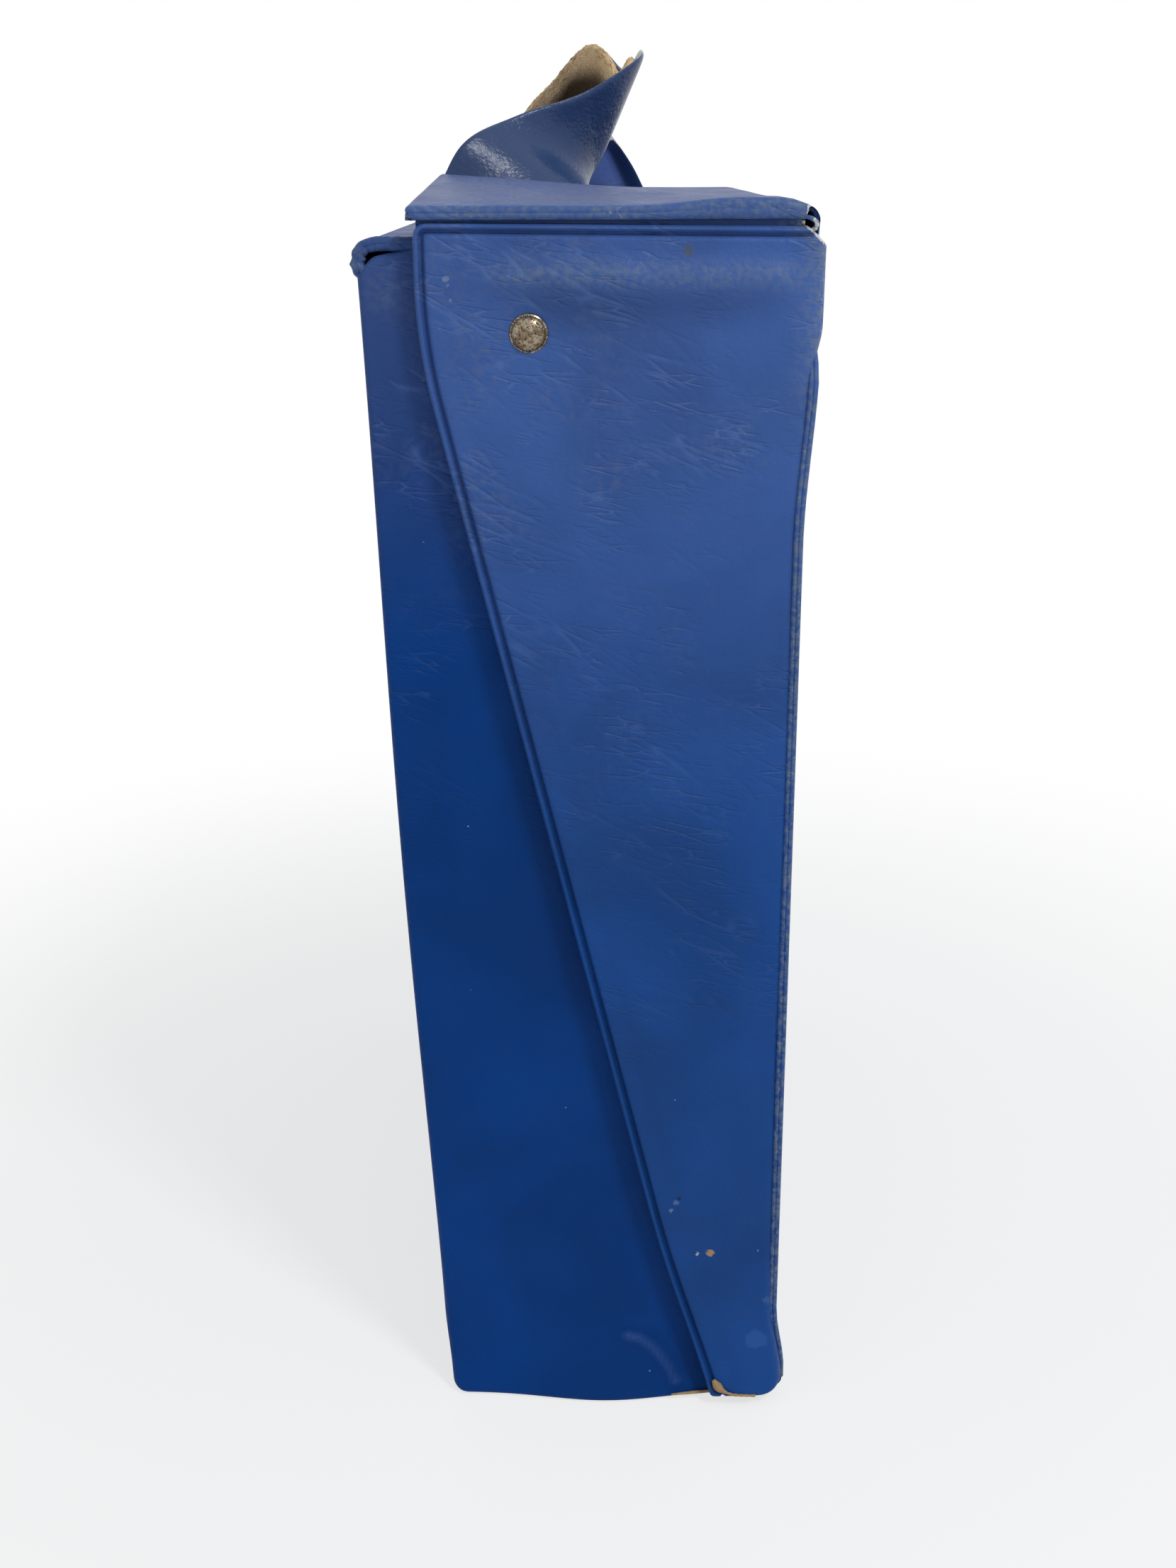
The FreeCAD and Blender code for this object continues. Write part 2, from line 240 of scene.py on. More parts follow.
# Marks on the near flap: place across the box and up, radius, strength and colour
FLAP_SPOTS = (
    ((17.9, 36.4), 0.5, 0.9, (0.50, 0.48, 0.44)),
    ((20.7, 36.8), 0.8, 0.9, TAN),
    ((13.2, 49.2), 0.6, 0.5, (0.16, 0.25, 0.46)),
    ((12.2, 47.1), 0.5, 0.5, (0.20, 0.30, 0.48)),
    ((13.7, 50.2), 0.5, 0.8, (0.004, 0.012, 0.05)),
    # The two pale blue spots near the foot's back corner are painted highlights
    ((31.4, 15.6), 2.6, 0.25, (0.05, 0.16, 0.46)),
    ((33.2, 24.8), 1.2, 0.25, (0.10, 0.20, 0.44)),
    ((13.1, 246.4), 1.3, 0.5, (0.10, 0.09, 0.05)),
    ((-31.0, 241.3), 0.6, 0.4, PALE_SCUFF),
    ((-30.7, 240.2), 0.35, 0.35, PALE_SCUFF),
    ((-30.2, 237.7), 0.5, 0.4, PALE_SCUFF),
)


def span(name):
    """Lowest and highest corner of a node of the frame, in millimetres."""
    low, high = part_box(name)
    return np.array(low) / MM, np.array(high) / MM


cover_low, cover_high = span("lid_cover_skin")
wrap_high = span("body_wrap_skin")[1]
front_foot = cover_low[0] + FOOT_SETBACK


# Shape helpers
def ease(low, high, value):
    """0 before low, 1 after high, and smooth between them."""
    share = np.clip((value - low) / (high - low), 0, 1)
    return share * share * (3 - 2 * share)


def hill(value, centre, width):
    """1 at the centre, falling off smoothly to both sides."""
    return np.exp(-(((value - centre) / width) ** 2))


def ripple(a, b, wavelength, seed):
    """Soft random waves of about one wavelength, mostly between -1 and 1."""
    random = np.random.default_rng(seed)
    total = np.zeros(np.shape(a + b))
    for _ in range(WAVES):
        angle = random.uniform(0, 2 * math.pi)
        length = wavelength * random.uniform(0.7, 1.6)
        phase = random.uniform(0, 2 * math.pi)
        total += np.sin(2 * math.pi * (a * math.cos(angle) + b * math.sin(angle)) / length + phase)
    return total * 1.6 / WAVES


def quarter_round(distance, radius):
    """How far a round edge falls back at a distance in from it."""
    return radius - np.sqrt(radius ** 2 - np.maximum(radius - distance, 0) ** 2)


def unit(vector):
    return vector / np.linalg.norm(vector, axis=-1, keepdims=True)


def joined(*parts):
    """Points from their coordinates."""
    return np.stack(parts, axis=-1)


def both(values):
    """The same values on the front and on the back of a shell."""
    return np.stack([values, values])


def rounded_line(corners):
    """Points of an open line in a plane. Its inner corners are (x, z, radius)."""
    points = [np.array(corners[0][:2], float)]
    for before, (x, z, radius), after in zip(corners, corners[1:], corners[2:]):
        corner = np.array([x, z])
        to_before = unit(np.array(before[:2]) - corner)
        to_after = unit(np.array(after[:2]) - corner)
        half_angle = math.acos(np.clip(to_before @ to_after, -1, 1)) / 2
        reach = radius / math.tan(half_angle)
        centre = corner + unit(to_before + to_after) * radius / math.sin(half_angle)
        start = corner + to_before * reach - centre
        end = corner + to_after * reach - centre
        turn = math.pi - 2 * half_angle
        for share in np.linspace(0, 1, ARC_STEPS):
            start_weight = math.sin((1 - share) * turn) / math.sin(turn)
            end_weight = math.sin(share * turn) / math.sin(turn)
            points.append(centre + start * start_weight + end * end_weight)
    points.append(np.array(corners[-1][:2], float))
    return np.array(points)


def line_distance(x, z, line):
    """Distance in a plane from each place to a line of points."""
    best = np.full(np.shape(x), np.inf)
    for start, end in zip(line, line[1:]):
        along = end - start
        share = ((x - start[0]) * along[0] + (z - start[1]) * along[1]) / (along @ along)
        share = np.clip(share, 0, 1)
        away = np.hypot(x - start[0] - share * along[0], z - start[1] - share * along[1])
        best = np.minimum(best, away)
    return best


def spread(length, step, first=EDGE_STEPS):
    """Places along a length, close together at both ends and about a step apart between them."""
    count = max(3, round((length - first[-1] - EDGE_STEPS[-1]) / step))
    middle = np.linspace(first[-1], length - EDGE_STEPS[-1], count + 1)[1:-1]
    return np.concatenate([first, middle, length - np.array(EDGE_STEPS[::-1])])


def run_lengths(points):
    """Length along a line of points up to each of them."""
    return np.concatenate([[0], np.cumsum(np.linalg.norm(np.diff(points, axis=0), axis=1))])


def smooth_between(points, knots, count):
    """Places on a smooth curve through points at given knots, evenly spread along the knots."""
    slopes = np.gradient(points, knots, axis=0)
    places = np.linspace(0, knots[-1], count)
    index = np.clip(np.searchsorted(knots, places, side="right") - 1, 0, len(points) - 2)
    width = (knots[index + 1] - knots[index])[:, None]
    share = (places - knots[index])[:, None] / width
    keep = 2 * share ** 3 - 3 * share ** 2 + 1
    leave = share ** 3 - 2 * share ** 2 + share
    arrive = share ** 3 - share ** 2
    return (keep * points[index] + (1 - keep) * points[index + 1]
            + width * (leave * slopes[index] + arrive * slopes[index + 1]))


def smooth_path(points, count):
    """Evenly spread points on a smooth curve through the given ones."""
    points = np.array(points, float)
    return smooth_between(points, run_lengths(points), count)


# Mesh helpers
def grid_faces(rows, columns, first=0, wrap=False):
    faces = []
    for row in range(rows - 1):
        for column in range(columns if wrap else columns - 1):
            here = first + row * columns + column
            beside = first + row * columns + (column + 1) % columns
            faces.append((here, beside, beside + columns, here + columns))
    return faces


def shell_mesh(front, back):
    """Closed mesh of two grids of points, joined round their borders."""
    rows, columns = front.shape[:2]
    count = rows * columns
    index = np.arange(count).reshape(rows, columns)
    border = list(index[0, :-1]) + list(index[:-1, -1]) + list(index[-1, :0:-1]) + list(index[:0:-1, 0])
    faces = grid_faces(rows, columns) + grid_faces(rows, columns, count)
    for here, after in zip(border, border[1:] + border[:1]):
        faces.append((int(here), int(after), int(after) + count, int(here) + count))
    return np.concatenate([front.reshape(-1, 3), back.reshape(-1, 3)]), faces


def loop_mesh(loops):
    """Closed mesh through a row of closed loops, with a cap at each end."""
    rows, columns = loops.shape[:2]
    faces = grid_faces(rows, columns, wrap=True)
    faces.append(tuple(range(columns)))
    faces.append(tuple(range((rows - 1) * columns, rows * columns)))
    return loops.reshape(-1, 3), faces


def tube_mesh(path, radii):
    """Round tube along a path, with a radius at each point."""
    path = np.array(path, float)
    along = unit(np.gradient(path, axis=0))
    across = unit(np.cross(along, (0.3, 0.9, 0.31)))
    third = np.cross(along, across)
    turns = np.linspace(0, 2 * math.pi, TUBE_SIDES, endpoint=False)
    rings = []
    for place, first, second, radius in zip(path, across, third, radii):
        ring = [place + radius * (math.cos(turn) * first + math.sin(turn) * second) for turn in turns]
        rings.append(ring)
    return loop_mesh(np.array(rings))


def add_object(name, data):
    made = bpy.data.objects.new(name, data)
    bpy.context.scene.collection.objects.link(made)
    return made


def add_piece(name, mesh_data, material, body, slot, **marks):
    """New object from points in millimetres and faces, which rides on a body.
    Marks are values at the points that the finish reads, such as wear."""
    points, faces = mesh_data
    mesh = bpy.data.meshes.new(name)
    mesh.from_pydata((np.asarray(points).reshape(-1, 3) * MM).tolist(), [], faces)
    sculpt = bmesh.new()
    sculpt.from_mesh(mesh)
    bmesh.ops.recalc_face_normals(sculpt, faces=sculpt.faces)
    sculpt.to_mesh(mesh)
    sculpt.free()
    for mark, values in marks.items():
        attribute = mesh.attributes.new(mark, "FLOAT", "POINT")
        attribute.data.foreach_set("value", np.asarray(values, np.float32).ravel())
    mesh.shade_smooth()
    mesh.materials.append(material)
    piece = add_object(name, mesh)
    if body:
        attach(piece, body)
    return piece


# Materials
def new_material(name):
    material = bpy.data.materials.new(name)
    material.use_nodes = True
    material.node_tree.nodes.clear()
    return material, material.node_tree


def node(tree, kind, inputs=None, **settings):
    """New node. Each input is another node's output, a plain value, or a colour as red, green and blue."""
    made = tree.nodes.new("ShaderNode" + kind)
    for key, value in settings.items():
        setattr(made, key, value)
    for key, value in (inputs or {}).items():
        socket = made.inputs[key]
        if isinstance(value, bpy.types.NodeSocket):
            tree.links.new(value, socket)
        else:
            socket.default_value = (*value, 1) if socket.type == "RGBA" else value
    return made


def places_in_mm(tree, scale=(1, 1, 1)):
    """Places on the piece in millimetres, stretched for a pattern."""
    places = node(tree, "TexCoord").outputs["Object"]
    factors = tuple(share / MM for share in scale)
    return node(tree, "Mapping", {"Vector": places, "Scale": factors}).outputs["Vector"]


def noise(tree, places, scale, detail=2, distortion=0):
    inputs = {"Vector": places, "Scale": scale, "Detail": detail, "Distortion": distortion}
    return node(tree, "TexNoise", inputs).outputs["Fac"]


def cells(tree, places, scale, feature="F1", output="Distance"):
    return node(tree, "TexVoronoi", {"Vector": places, "Scale": scale}, feature=feature).outputs[output]


def remap(tree, value, low, high, to_low=0, to_high=1):
    inputs = {"Value": value, "From Min": low, "From Max": high, "To Min": to_low, "To Max": to_high}
    return node(tree, "MapRange", inputs, interpolation_type="SMOOTHSTEP").outputs["Result"]


def combine(tree, operation, first, second):
    return node(tree, "Math", {0: first, 1: second}, operation=operation).outputs[0]


def times(tree, first, second):
    return combine(tree, "MULTIPLY", first, second)


def mark(tree, name):
    """Values at the points of a piece, as add_piece set them."""
    return node(tree, "Attribute", attribute_name=name).outputs["Fac"]


def mix(tree, factor, first, second):
    made = node(tree, "Mix", {0: factor, 6: first, 7: second}, data_type="RGBA")
    return made.outputs[2]


def shade(tree, inputs):
    """Principled shader joined to the output."""
    surface = node(tree, "BsdfPrincipled", inputs)
    node(tree, "OutputMaterial", {"Surface": surface.outputs[0]})


def bump(tree, height, distance, strength=1.0, normal=None):
    inputs = {"Height": height, "Distance": distance * MM, "Strength": strength}
    if normal is not None:
        inputs["Normal"] = normal
    return node(tree, "Bump", inputs).outputs["Normal"]


def crease_lines(tree, seed, turn, size):
    """Thin branching lines that lie mostly one way, this far apart in millimetres."""
    places = node(tree, "TexCoord").outputs["Object"]
    stretch = (5 * size * MM, 5 * size * MM, size * MM)
    start = (seed * 0.31, 0.17, 0.13)
    settings = {"Vector": places, "Location": start, "Rotation": (0, turn, 0), "Scale": stretch}
    lying = node(tree, "Mapping", settings, vector_type="TEXTURE").outputs[0]
    wander = node(tree, "TexNoise", {"Vector": lying, "Scale": 0.9, "Detail": 2}).outputs["Color"]
    inputs = {0: wander, 1: (0.4, 0.4, 0.4), 2: lying}
    bent = node(tree, "VectorMath", inputs, operation="MULTIPLY_ADD").outputs[0]
    edge = cells(tree, bent, 1.0, "DISTANCE_TO_EDGE")
    unbroken = remap(tree, noise(tree, lying, 0.55, 3), 0.42, 0.58)
    return times(tree, remap(tree, edge, 0, 0.16, 1, 0), unbroken)


def spot(tree, places, centre, radius):
    """1 near a place on the end of the box, 0 away from it, with a crooked border."""
    flat = node(tree, "VectorMath", {0: places, 1: (1, 0, 1)}, operation="MULTIPLY").outputs[0]
    inputs = {0: flat, 1: (centre[0], 0, centre[1])}
    away = node(tree, "VectorMath", inputs, operation="DISTANCE").outputs["Value"]
    sway = remap(tree, noise(tree, places, 0.6 / radius, 3), 0.3, 0.7, -0.5 * radius, 0.5 * radius)
    return remap(tree, combine(tree, "ADD", away, sway), 0.5 * radius, 1.1 * radius, 1, 0)


def vinyl_creases(tree, shifted, height, painted_light_heights, seed, amount):
    """Fine and long creases, gathered in patches and faint below the heights where the painted light starts.
    """
    fine = crease_lines(tree, seed, 0.15, 1.5)
    long = crease_lines(tree, seed + 3, 0.5, 3.4)
    gathered = remap(tree, noise(tree, shifted, 0.05, 3), 0.34, 0.56, 0, amount)
    gathered = times(tree, gathered, remap(tree, height, painted_light_heights[0] - 60, painted_light_heights[0], 0.1, 1))
    return times(tree, combine(tree, "MAXIMUM", fine, long), gathered)


def vinyl_specks(tree, shifted):
    """Small specks, each in one of a few cells picked from a pattern."""
    middle = remap(tree, cells(tree, shifted, 0.16), 0.015, 0.035, 1, 0)
    pick = node(tree, "SeparateXYZ", {0: cells(tree, shifted, 0.16, output="Color")}).outputs[0]
    return times(tree, middle, remap(tree, pick, 0.72, 0.8))


def make_vinyl(name, low_color, high_color, painted_light_heights, seed, creased=1.0, gloss=(0.36, 0.50),
               specular=0.15, spots=()):
    """Grained blue vinyl: paler with height as painted light, with painted sheen in patches, creased with
    painted highlights and dust along the creases, rubbed and dusty in places, with painted shade, painted
    light and a painted ridge highlight where the pieces mark them, and a bare core at tears.
    The painted_light_heights are the pair of heights between which it pales."""
    material, tree = new_material(name)
    places = places_in_mm(tree)
    shifted = node(tree, "VectorMath", {0: places, 1: (seed * 37.0, seed * 11.0, seed * 23.0)}).outputs[0]
    height = node(tree, "SeparateXYZ", {0: places}).outputs[2]
    # Painted light: paler towards the top, between the two heights
    painted_light_share = remap(tree, height, *painted_light_heights)
    tone = remap(tree, noise(tree, shifted, 0.03, 3, 0.4), 0.3, 0.7, 0.86, 1.14)
    base = mix(tree, painted_light_share, low_color, high_color)
    base = node(tree, "VectorMath", {0: base, "Scale": tone}, operation="SCALE").outputs[0]
    # Where each layer shows
    patches = remap(tree, noise(tree, shifted, 0.05, 4, 0.6), 0.40, 0.66)
    mottle = remap(tree, noise(tree, shifted, 0.55, 4, 0.4), 0.38, 0.72)
    # Painted sheen in mottled patches, growing with the painted light
    painted_sheen = times(tree, times(tree, patches, mottle), painted_light_share)
    creases = vinyl_creases(tree, shifted, height, painted_light_heights, seed, creased)
    thin_creases = combine(tree, "POWER", creases, 4.0)
    # Paler crease lines: painted highlight and dust, stronger higher up
    crease_dust_and_highlights = times(tree, thin_creases, remap(tree, painted_light_share, 0, 1, 0.08, 0.28))
    dust = mark(tree, "dust")
    dusty = times(tree, dust, remap(tree, noise(tree, shifted, 0.9, 4), 0.3, 0.7, 0.25, 0.6))
    # The wear mark holds real rubbing and, along the flaps' ridge, a painted highlight
    wear_and_highlight = mark(tree, "wear")
    rub_mottle = remap(tree, noise(tree, shifted, 0.8, 4, 0.3), 0.35, 0.68, 0.12, 0.85)
    rubbed_and_highlit = times(tree, remap(tree, wear_and_highlight, 0.0, 0.5), rub_mottle)
    frayed = combine(tree, "ADD", wear_and_highlight, remap(tree, noise(tree, shifted, 1.6, 3), 0.3, 0.7, -0.22, 0.22))
    bare = remap(tree, frayed, 0.60, 0.76)
    # Layers from the lowest to the topmost
    layers = [
        (times(tree, painted_sheen, 0.45), PAINTED_SHEEN_COLOR),
        (crease_dust_and_highlights, CREASE_DUST_AND_HIGHLIGHT_COLOR),
        (times(tree, vinyl_specks(tree, shifted), 0.6), SPECK_COLOR),
    ]
    for centre, radius, share, spot_color in spots:
        layers.append((times(tree, spot(tree, places, centre, radius), share), spot_color))
    layers += [
        # Painted shade, where the pieces mark it
        (times(tree, mark(tree, "grime"), 0.85), PAINTED_SHADE_COLOR),
        # Painted light, where the pieces mark it
        (mark(tree, "faded"), PAINTED_LIGHT_COLOR),
        (dusty, DUST_COLOR),
        (rubbed_and_highlit, RUBBED_AND_HIGHLIGHT_COLOR),
        (bare, BARE_CORE),
    ]
    for share, layer_color in layers:
        base = mix(tree, share, base, layer_color)
    normal = bump(tree, noise(tree, shifted, 1.3, 3, 0.2), 0.2, 0.6)
    normal = bump(tree, combine(tree, "SUBTRACT", 1.0, creases), 0.22, 0.7, normal)
    normal = bump(tree, noise(tree, shifted, 0.16, 3, 0.3), 0.7, 0.4, normal)
    rough = remap(tree, noise(tree, shifted, 0.09, 3), 0.3, 0.7, *gloss)
    rough = combine(tree, "ADD", rough, times(tree, bare, 0.3))
    rough = combine(tree, "ADD", rough, times(tree, dust, 0.08))
    shade(tree, {"Base Color": base, "Roughness": rough, "Normal": normal, "Specular IOR Level": specular})
    return material


def make_felt():
    material, tree = new_material("felt")
    places = places_in_mm(tree)
    fibres = noise(tree, places, 1.3, 6, 1.4)
    stain = remap(tree, noise(tree, places, 0.12, 3), 0.45, 0.75)
    base = mix(tree, remap(tree, fibres, 0.3, 0.7), (0.80, 0.50, 0.24), (1.0, 0.78, 0.48))
    base = mix(tree, times(tree, stain, 0.35), base, (0.50, 0.29, 0.12))
    # Painted shade inside the strap's fold, from the backing's marks
    grime = mark(tree, "grime")
    base = mix(tree, grime, base, (0.07, 0.045, 0.025))
    normal = bump(tree, fibres, 0.6, 0.9)
    shade(tree, {"Base Color": base, "Roughness": 0.95, "Normal": normal, "Specular IOR Level": 0.1})
    return material


def make_cardboard(name, light_color, dark_color):
    material, tree = new_material(name)
    places = places_in_mm(tree)
    fibres = noise(tree, places_in_mm(tree, (1, 1, 0.35)), 0.9, 5, 0.6)
    blotch = remap(tree, noise(tree, places, 0.08, 3), 0.3, 0.7)
    base = mix(tree, fibres, dark_color, light_color)
    base = mix(tree, times(tree, blotch, 0.4), base, dark_color)
    shade(tree, {"Base Color": base, "Roughness": 0.92, "Normal": bump(tree, fibres, 0.25, 0.8),
                 "Specular IOR Level": 0.2})
    return material


def make_lining():
    """Smooth cream lining with faint grain, yellowed in soft patches and soiled with a few specks."""
    material, tree = new_material("lining")
    places = places_in_mm(tree)
    patch = remap(tree, noise(tree, places, 0.02, 4, 0.5), 0.3, 0.72)
    base = mix(tree, patch, (0.66, 0.61, 0.49), (0.55, 0.48, 0.34))
    spots = remap(tree, cells(tree, places, 0.07), 0.02, 0.06, 1, 0)
    base = mix(tree, times(tree, spots, 0.5), base, (0.25, 0.18, 0.10))
    grain = noise(tree, places, 2.2, 2)
    rough = remap(tree, patch, 0, 1, 0.42, 0.6)
    shade(tree, {"Base Color": base, "Roughness": rough, "Normal": bump(tree, grain, 0.08, 0.5)})
    return material


def make_snap_metal():
    """Plated brass, pitted and tarnished: dark spots and worn yellow patches in a pale plating."""
    material, tree = new_material("snap_metal")
    places = places_in_mm(tree)
    wear = remap(tree, noise(tree, places, 0.7, 4, 0.6), 0.42, 0.62)
    base = mix(tree, wear, (0.34, 0.285, 0.21), (0.17, 0.12, 0.075))
    pits = remap(tree, noise(tree, places, 2.4, 5, 0.5), 0.52, 0.62)
    base = mix(tree, times(tree, pits, 0.85), base, (0.03, 0.022, 0.015))
    rough = remap(tree, pits, 0, 1, 0.28, 0.7)
    metal = remap(tree, pits, 0, 1, 1.0, 0.35)
    normal = bump(tree, combine(tree, "SUBTRACT", 1.0, pits), 0.08, 0.6)
    shade(tree, {"Base Color": base, "Metallic": metal, "Roughness": rough, "Normal": normal})
    return material


def make_steel():
    material, tree = new_material("clip_steel")
    streaks = noise(tree, places_in_mm(tree, (0.15, 2.0, 2.0)), 1.2, 4)
    rust = remap(tree, noise(tree, places_in_mm(tree), 0.5, 4), 0.55, 0.75)
    base = mix(tree, streaks, (0.36, 0.36, 0.37), (0.55, 0.55, 0.56))
    base = mix(tree, rust, base, (0.20, 0.10, 0.05))
    metal = remap(tree, rust, 0, 1, 1, 0.2)
    rough = remap(tree, streaks, 0.3, 0.7, 0.3, 0.5)
    normal = bump(tree, streaks, 0.04, 0.4)
    shade(tree, {"Base Color": base, "Metallic": metal, "Roughness": rough, "Normal": normal})
    return material


# Side flaps of the lid
def flap_line(low, high):
    """Free edge of a flap: along the foot, round the tip, up the slant, round the corner, along the top."""
    tip = high[0] - FLAP_TIP
    return rounded_line([
        (high[0], low[2]),
        (tip, low[2], TIP_RADIUS),
        (tip - FLARE_REACH, low[2] + FLARE_RISE, FLARE_RADIUS),
        (low[0], high[2] - KNEE_DROP, KNEE_RADIUS),
        (low[0], high[2], FLAP_CORNER_RADIUS),
        (high[0], high[2]),
    ])


def bead_relief(distance, half_thickness):
    """Height in from a free edge: sealed bead, narrow groove, rolled shoulder, then the level panel."""
    crest = BEAD / 2
    inside = np.minimum(distance, crest)
    rise = (half_thickness + BEAD_RISE) * np.sqrt(1 - (1 - inside / crest) ** 2) - half_thickness
    fall = -(BEAD_RISE + BEAD_GROOVE) * ease(crest, BEAD, distance)
    shoulder = (BEAD_GROOVE + PANEL_ROLL) * ease(BEAD + 0.15, BEAD + 0.95, distance)
    settle = -PANEL_ROLL * ease(BEAD + 0.95, BEAD + 5.0, distance)
    return rise + fall + shoulder + settle


def back_draw(z):
    """How far the near end's back edge is drawn in at a height."""
    return BACK_DRAW * ease(*DRAWN_BELOW, z) * ease(*DRAWN_ABOVE, z)


def flap_right_edge(z, low, high, torn):
    """Fold at the back of a flap: round at the heel and full near the top.
    A torn one is drawn in and is cut at the top."""
    bulge = FOLD_BULGE + TOP_BULGE * ease(*TOP_BULGE_HEIGHTS, z)
    heel = quarter_round(z - low[2], FLAP_HEEL_RADIUS)
    edge = high[0] + bulge + 0.25 * ripple(z, 0 * z, 40, 5) - heel
    if torn:
        edge = edge - back_draw(z)
        cut = TEAR_EDGE - TEAR_SLOPE * (z - TEAR_FOOT) + 0.2 * ripple(z, 0 * z, 1.3, 8)
        edge = np.where(z > TEAR_FOOT, np.minimum(edge, cut), edge)
    return edge


def flap_dents(x, z, side):
    """Soft relief of a flap's panel: a ridge over a hollow under the top, and shallow dents."""
    ridge = RIDGE_RISE * hill(z, RIDGE_HEIGHT, RIDGE_WIDTH) * ease(-32, -18, x) * ease(38, 27, x)
    hollow = -HOLLOW_DEPTH * hill(z, HOLLOW_HEIGHT, HOLLOW_WIDTH) * ease(-26, -10, x) * ease(36, 20, x)
    dents = 0.30 * ripple(x, z, 48, 11 + side) + 0.12 * ripple(x, z * 1.6, 15, 21 + side)
    sag = 0.5 * hill(z, 110, 55) * hill(x, 22, 18)
    creases = 0.06 * ripple(x * 0.6, z * 1.5, 5.5, 31 + side) * ease(90, 200, z)
    return ridge + hollow + dents + sag + creases


def foot_flare(x, z, side=-1):
    """The ends of the box stand out a little at the foot, the near one most, and most in its middle."""
    share = 1.0 if side < 0 else FAR_FLARE_SHARE
    return share * (FOOT_FLARE + FOOT_SAG * hill(x, -2, 18)) * np.exp(-z / FOOT_FLARE_HEIGHT)


def flap_grid(line, low, high, torn):
    """Rows of places from the free edge to the fold: across the box, up, and distance from the fold.
    A few rows above the flap are for the groove there."""
    bead_top = high[2]
    rows = low[2] + spread(bead_top - low[2], 1.7)
    z_rows = np.concatenate([rows, bead_top + np.array(GROOVE_SHARES)])
    left = np.interp(z_rows, line[1:-1, 1], line[1:-1, 0])
    left = np.where(z_rows > bead_top, low[0] + BEAD / 2, left)
    right = flap_right_edge(z_rows, low, high, torn)
    middle = np.linspace(0, 1, 44)
    x_rows = []
    for start, end in zip(left, right):
        first = start + np.array(EDGE_STEPS)
        last = end - np.array(FOLD_STEPS[::-1])
        between = first[-1] + (last[0] - first[-1]) * middle[1:-1]
        x_rows.append(np.concatenate([first, between, last]))
    x = np.array(x_rows)
    z = np.repeat(z_rows[:, None], x.shape[1], axis=1)
    return x, z, right[:, None] - x


def flap_relief(name, side, x, z, distance, from_fold, torn):
    """How far a flap's outside stands out: bead, soft panel, foot, seat of the snap, groove and fold."""
    low, high = span(name + "_flap_welt")
    thickness = high[1] - low[1]
    bead_top = high[2]
    snap_low, snap_high = span(name + "_snap_cap")
    snap = (snap_low + snap_high) / 2
    relief = bead_relief(distance, thickness / 2)
    relief = np.where(relief > 0, relief * ease(0.5, 4.0, z - low[2]), relief)
    inner_share = ease(2, 9, distance) * ease(1, 9, from_fold)
    relief += inner_share * (PANEL_SWELL + flap_dents(x, z, side))
    relief -= quarter_round(z - low[2], FLAP_SOLE_RADIUS)
    from_snap = np.hypot(x - snap[0], z - snap[2])
    relief -= SNAP_SEAT_DEPTH * hill(from_snap, 0, SNAP_SEAT_RADIUS)
    groove_share = ease(-35, -31, x) * ease(bead_top - 2.0, bead_top - 1.2, z)
    groove_limit = -GROOVE_DEPTH - 9 * (1 - groove_share)
    relief = np.where(z > bead_top, -GROOVE_DEPTH, np.maximum(relief, groove_limit))
    fold_radius = FLAP_FOLD_RADIUS + (TOP_FOLD_RADIUS - FLAP_FOLD_RADIUS) * ease(222, 234, z)
    if torn:
        fold_radius = fold_radius - (TOP_FOLD_RADIUS - VINYL) * ease(TEAR_FOOT - 0.6, TEAR_FOOT + 1.0, z)
    relief -= quarter_round(from_fold, fold_radius)
    return np.maximum(relief, SHUT_RIM - thickness / 2 - fold_radius)


def flap_height(x, z, low, high):
    """Heights of a flap's points, with the slant of its top and of the groove under the lid's rim."""
    bead_top = high[2]
    groove_floor = np.interp(x, [low[0], high[0]], [bead_top + FLAP_TOP_RISE, bead_top - FLAP_TOP_DROP])
    groove_roof = cover_high[2] - RIM_HEIGHT + RIM_OVERLAP
    panel_height = z + (groove_floor - bead_top) * ease(200, bead_top, z)
    tucked = groove_floor - GROOVE_TUCK
    return np.where(z > bead_top, tucked + (z - bead_top) * (groove_roof - tucked), panel_height)


def flap_marks(x, z, distance, from_fold, bead_top, torn):
    """Painted shade in a flap's grooves and in the hollow under its ridge, its rubbed places, and a painted
    highlight along the ridge.
    """
    # Painted shade: the hollow under the ridge, the groove beside the bead and the groove under the lid's rim
    hollow = 0.22 * hill(z, 235.0, 3.6) * ease(-28, -12, x) * ease(30, 18, x)
    grime = np.maximum(0.4 * hill(distance, BEAD + 0.12, 0.3), 0.7 * (z > bead_top)) + hollow
    rubbed_fold = 0.36 * ease(7.5, 1.0, from_fold) * ease(200, 238, z) + 0.1 * ease(2.2, 0.3, from_fold)
    # Painted highlight along the ridge, carried in the wear mark
    painted_ridge_highlight = 0.33 * hill(z, 242.0, 2.8) * ease(-30, -18, x)
    wear = np.maximum(rubbed_fold, painted_ridge_highlight)
    if torn:
        torn_edge = ease(1.2, 0.3, from_fold) * ease(TEAR_FOOT - 0.5, TEAR_FOOT, z) * (z <= bead_top)
        wear = np.maximum(wear, torn_edge)
    return {"wear": both(wear), "grime": both(grime)}


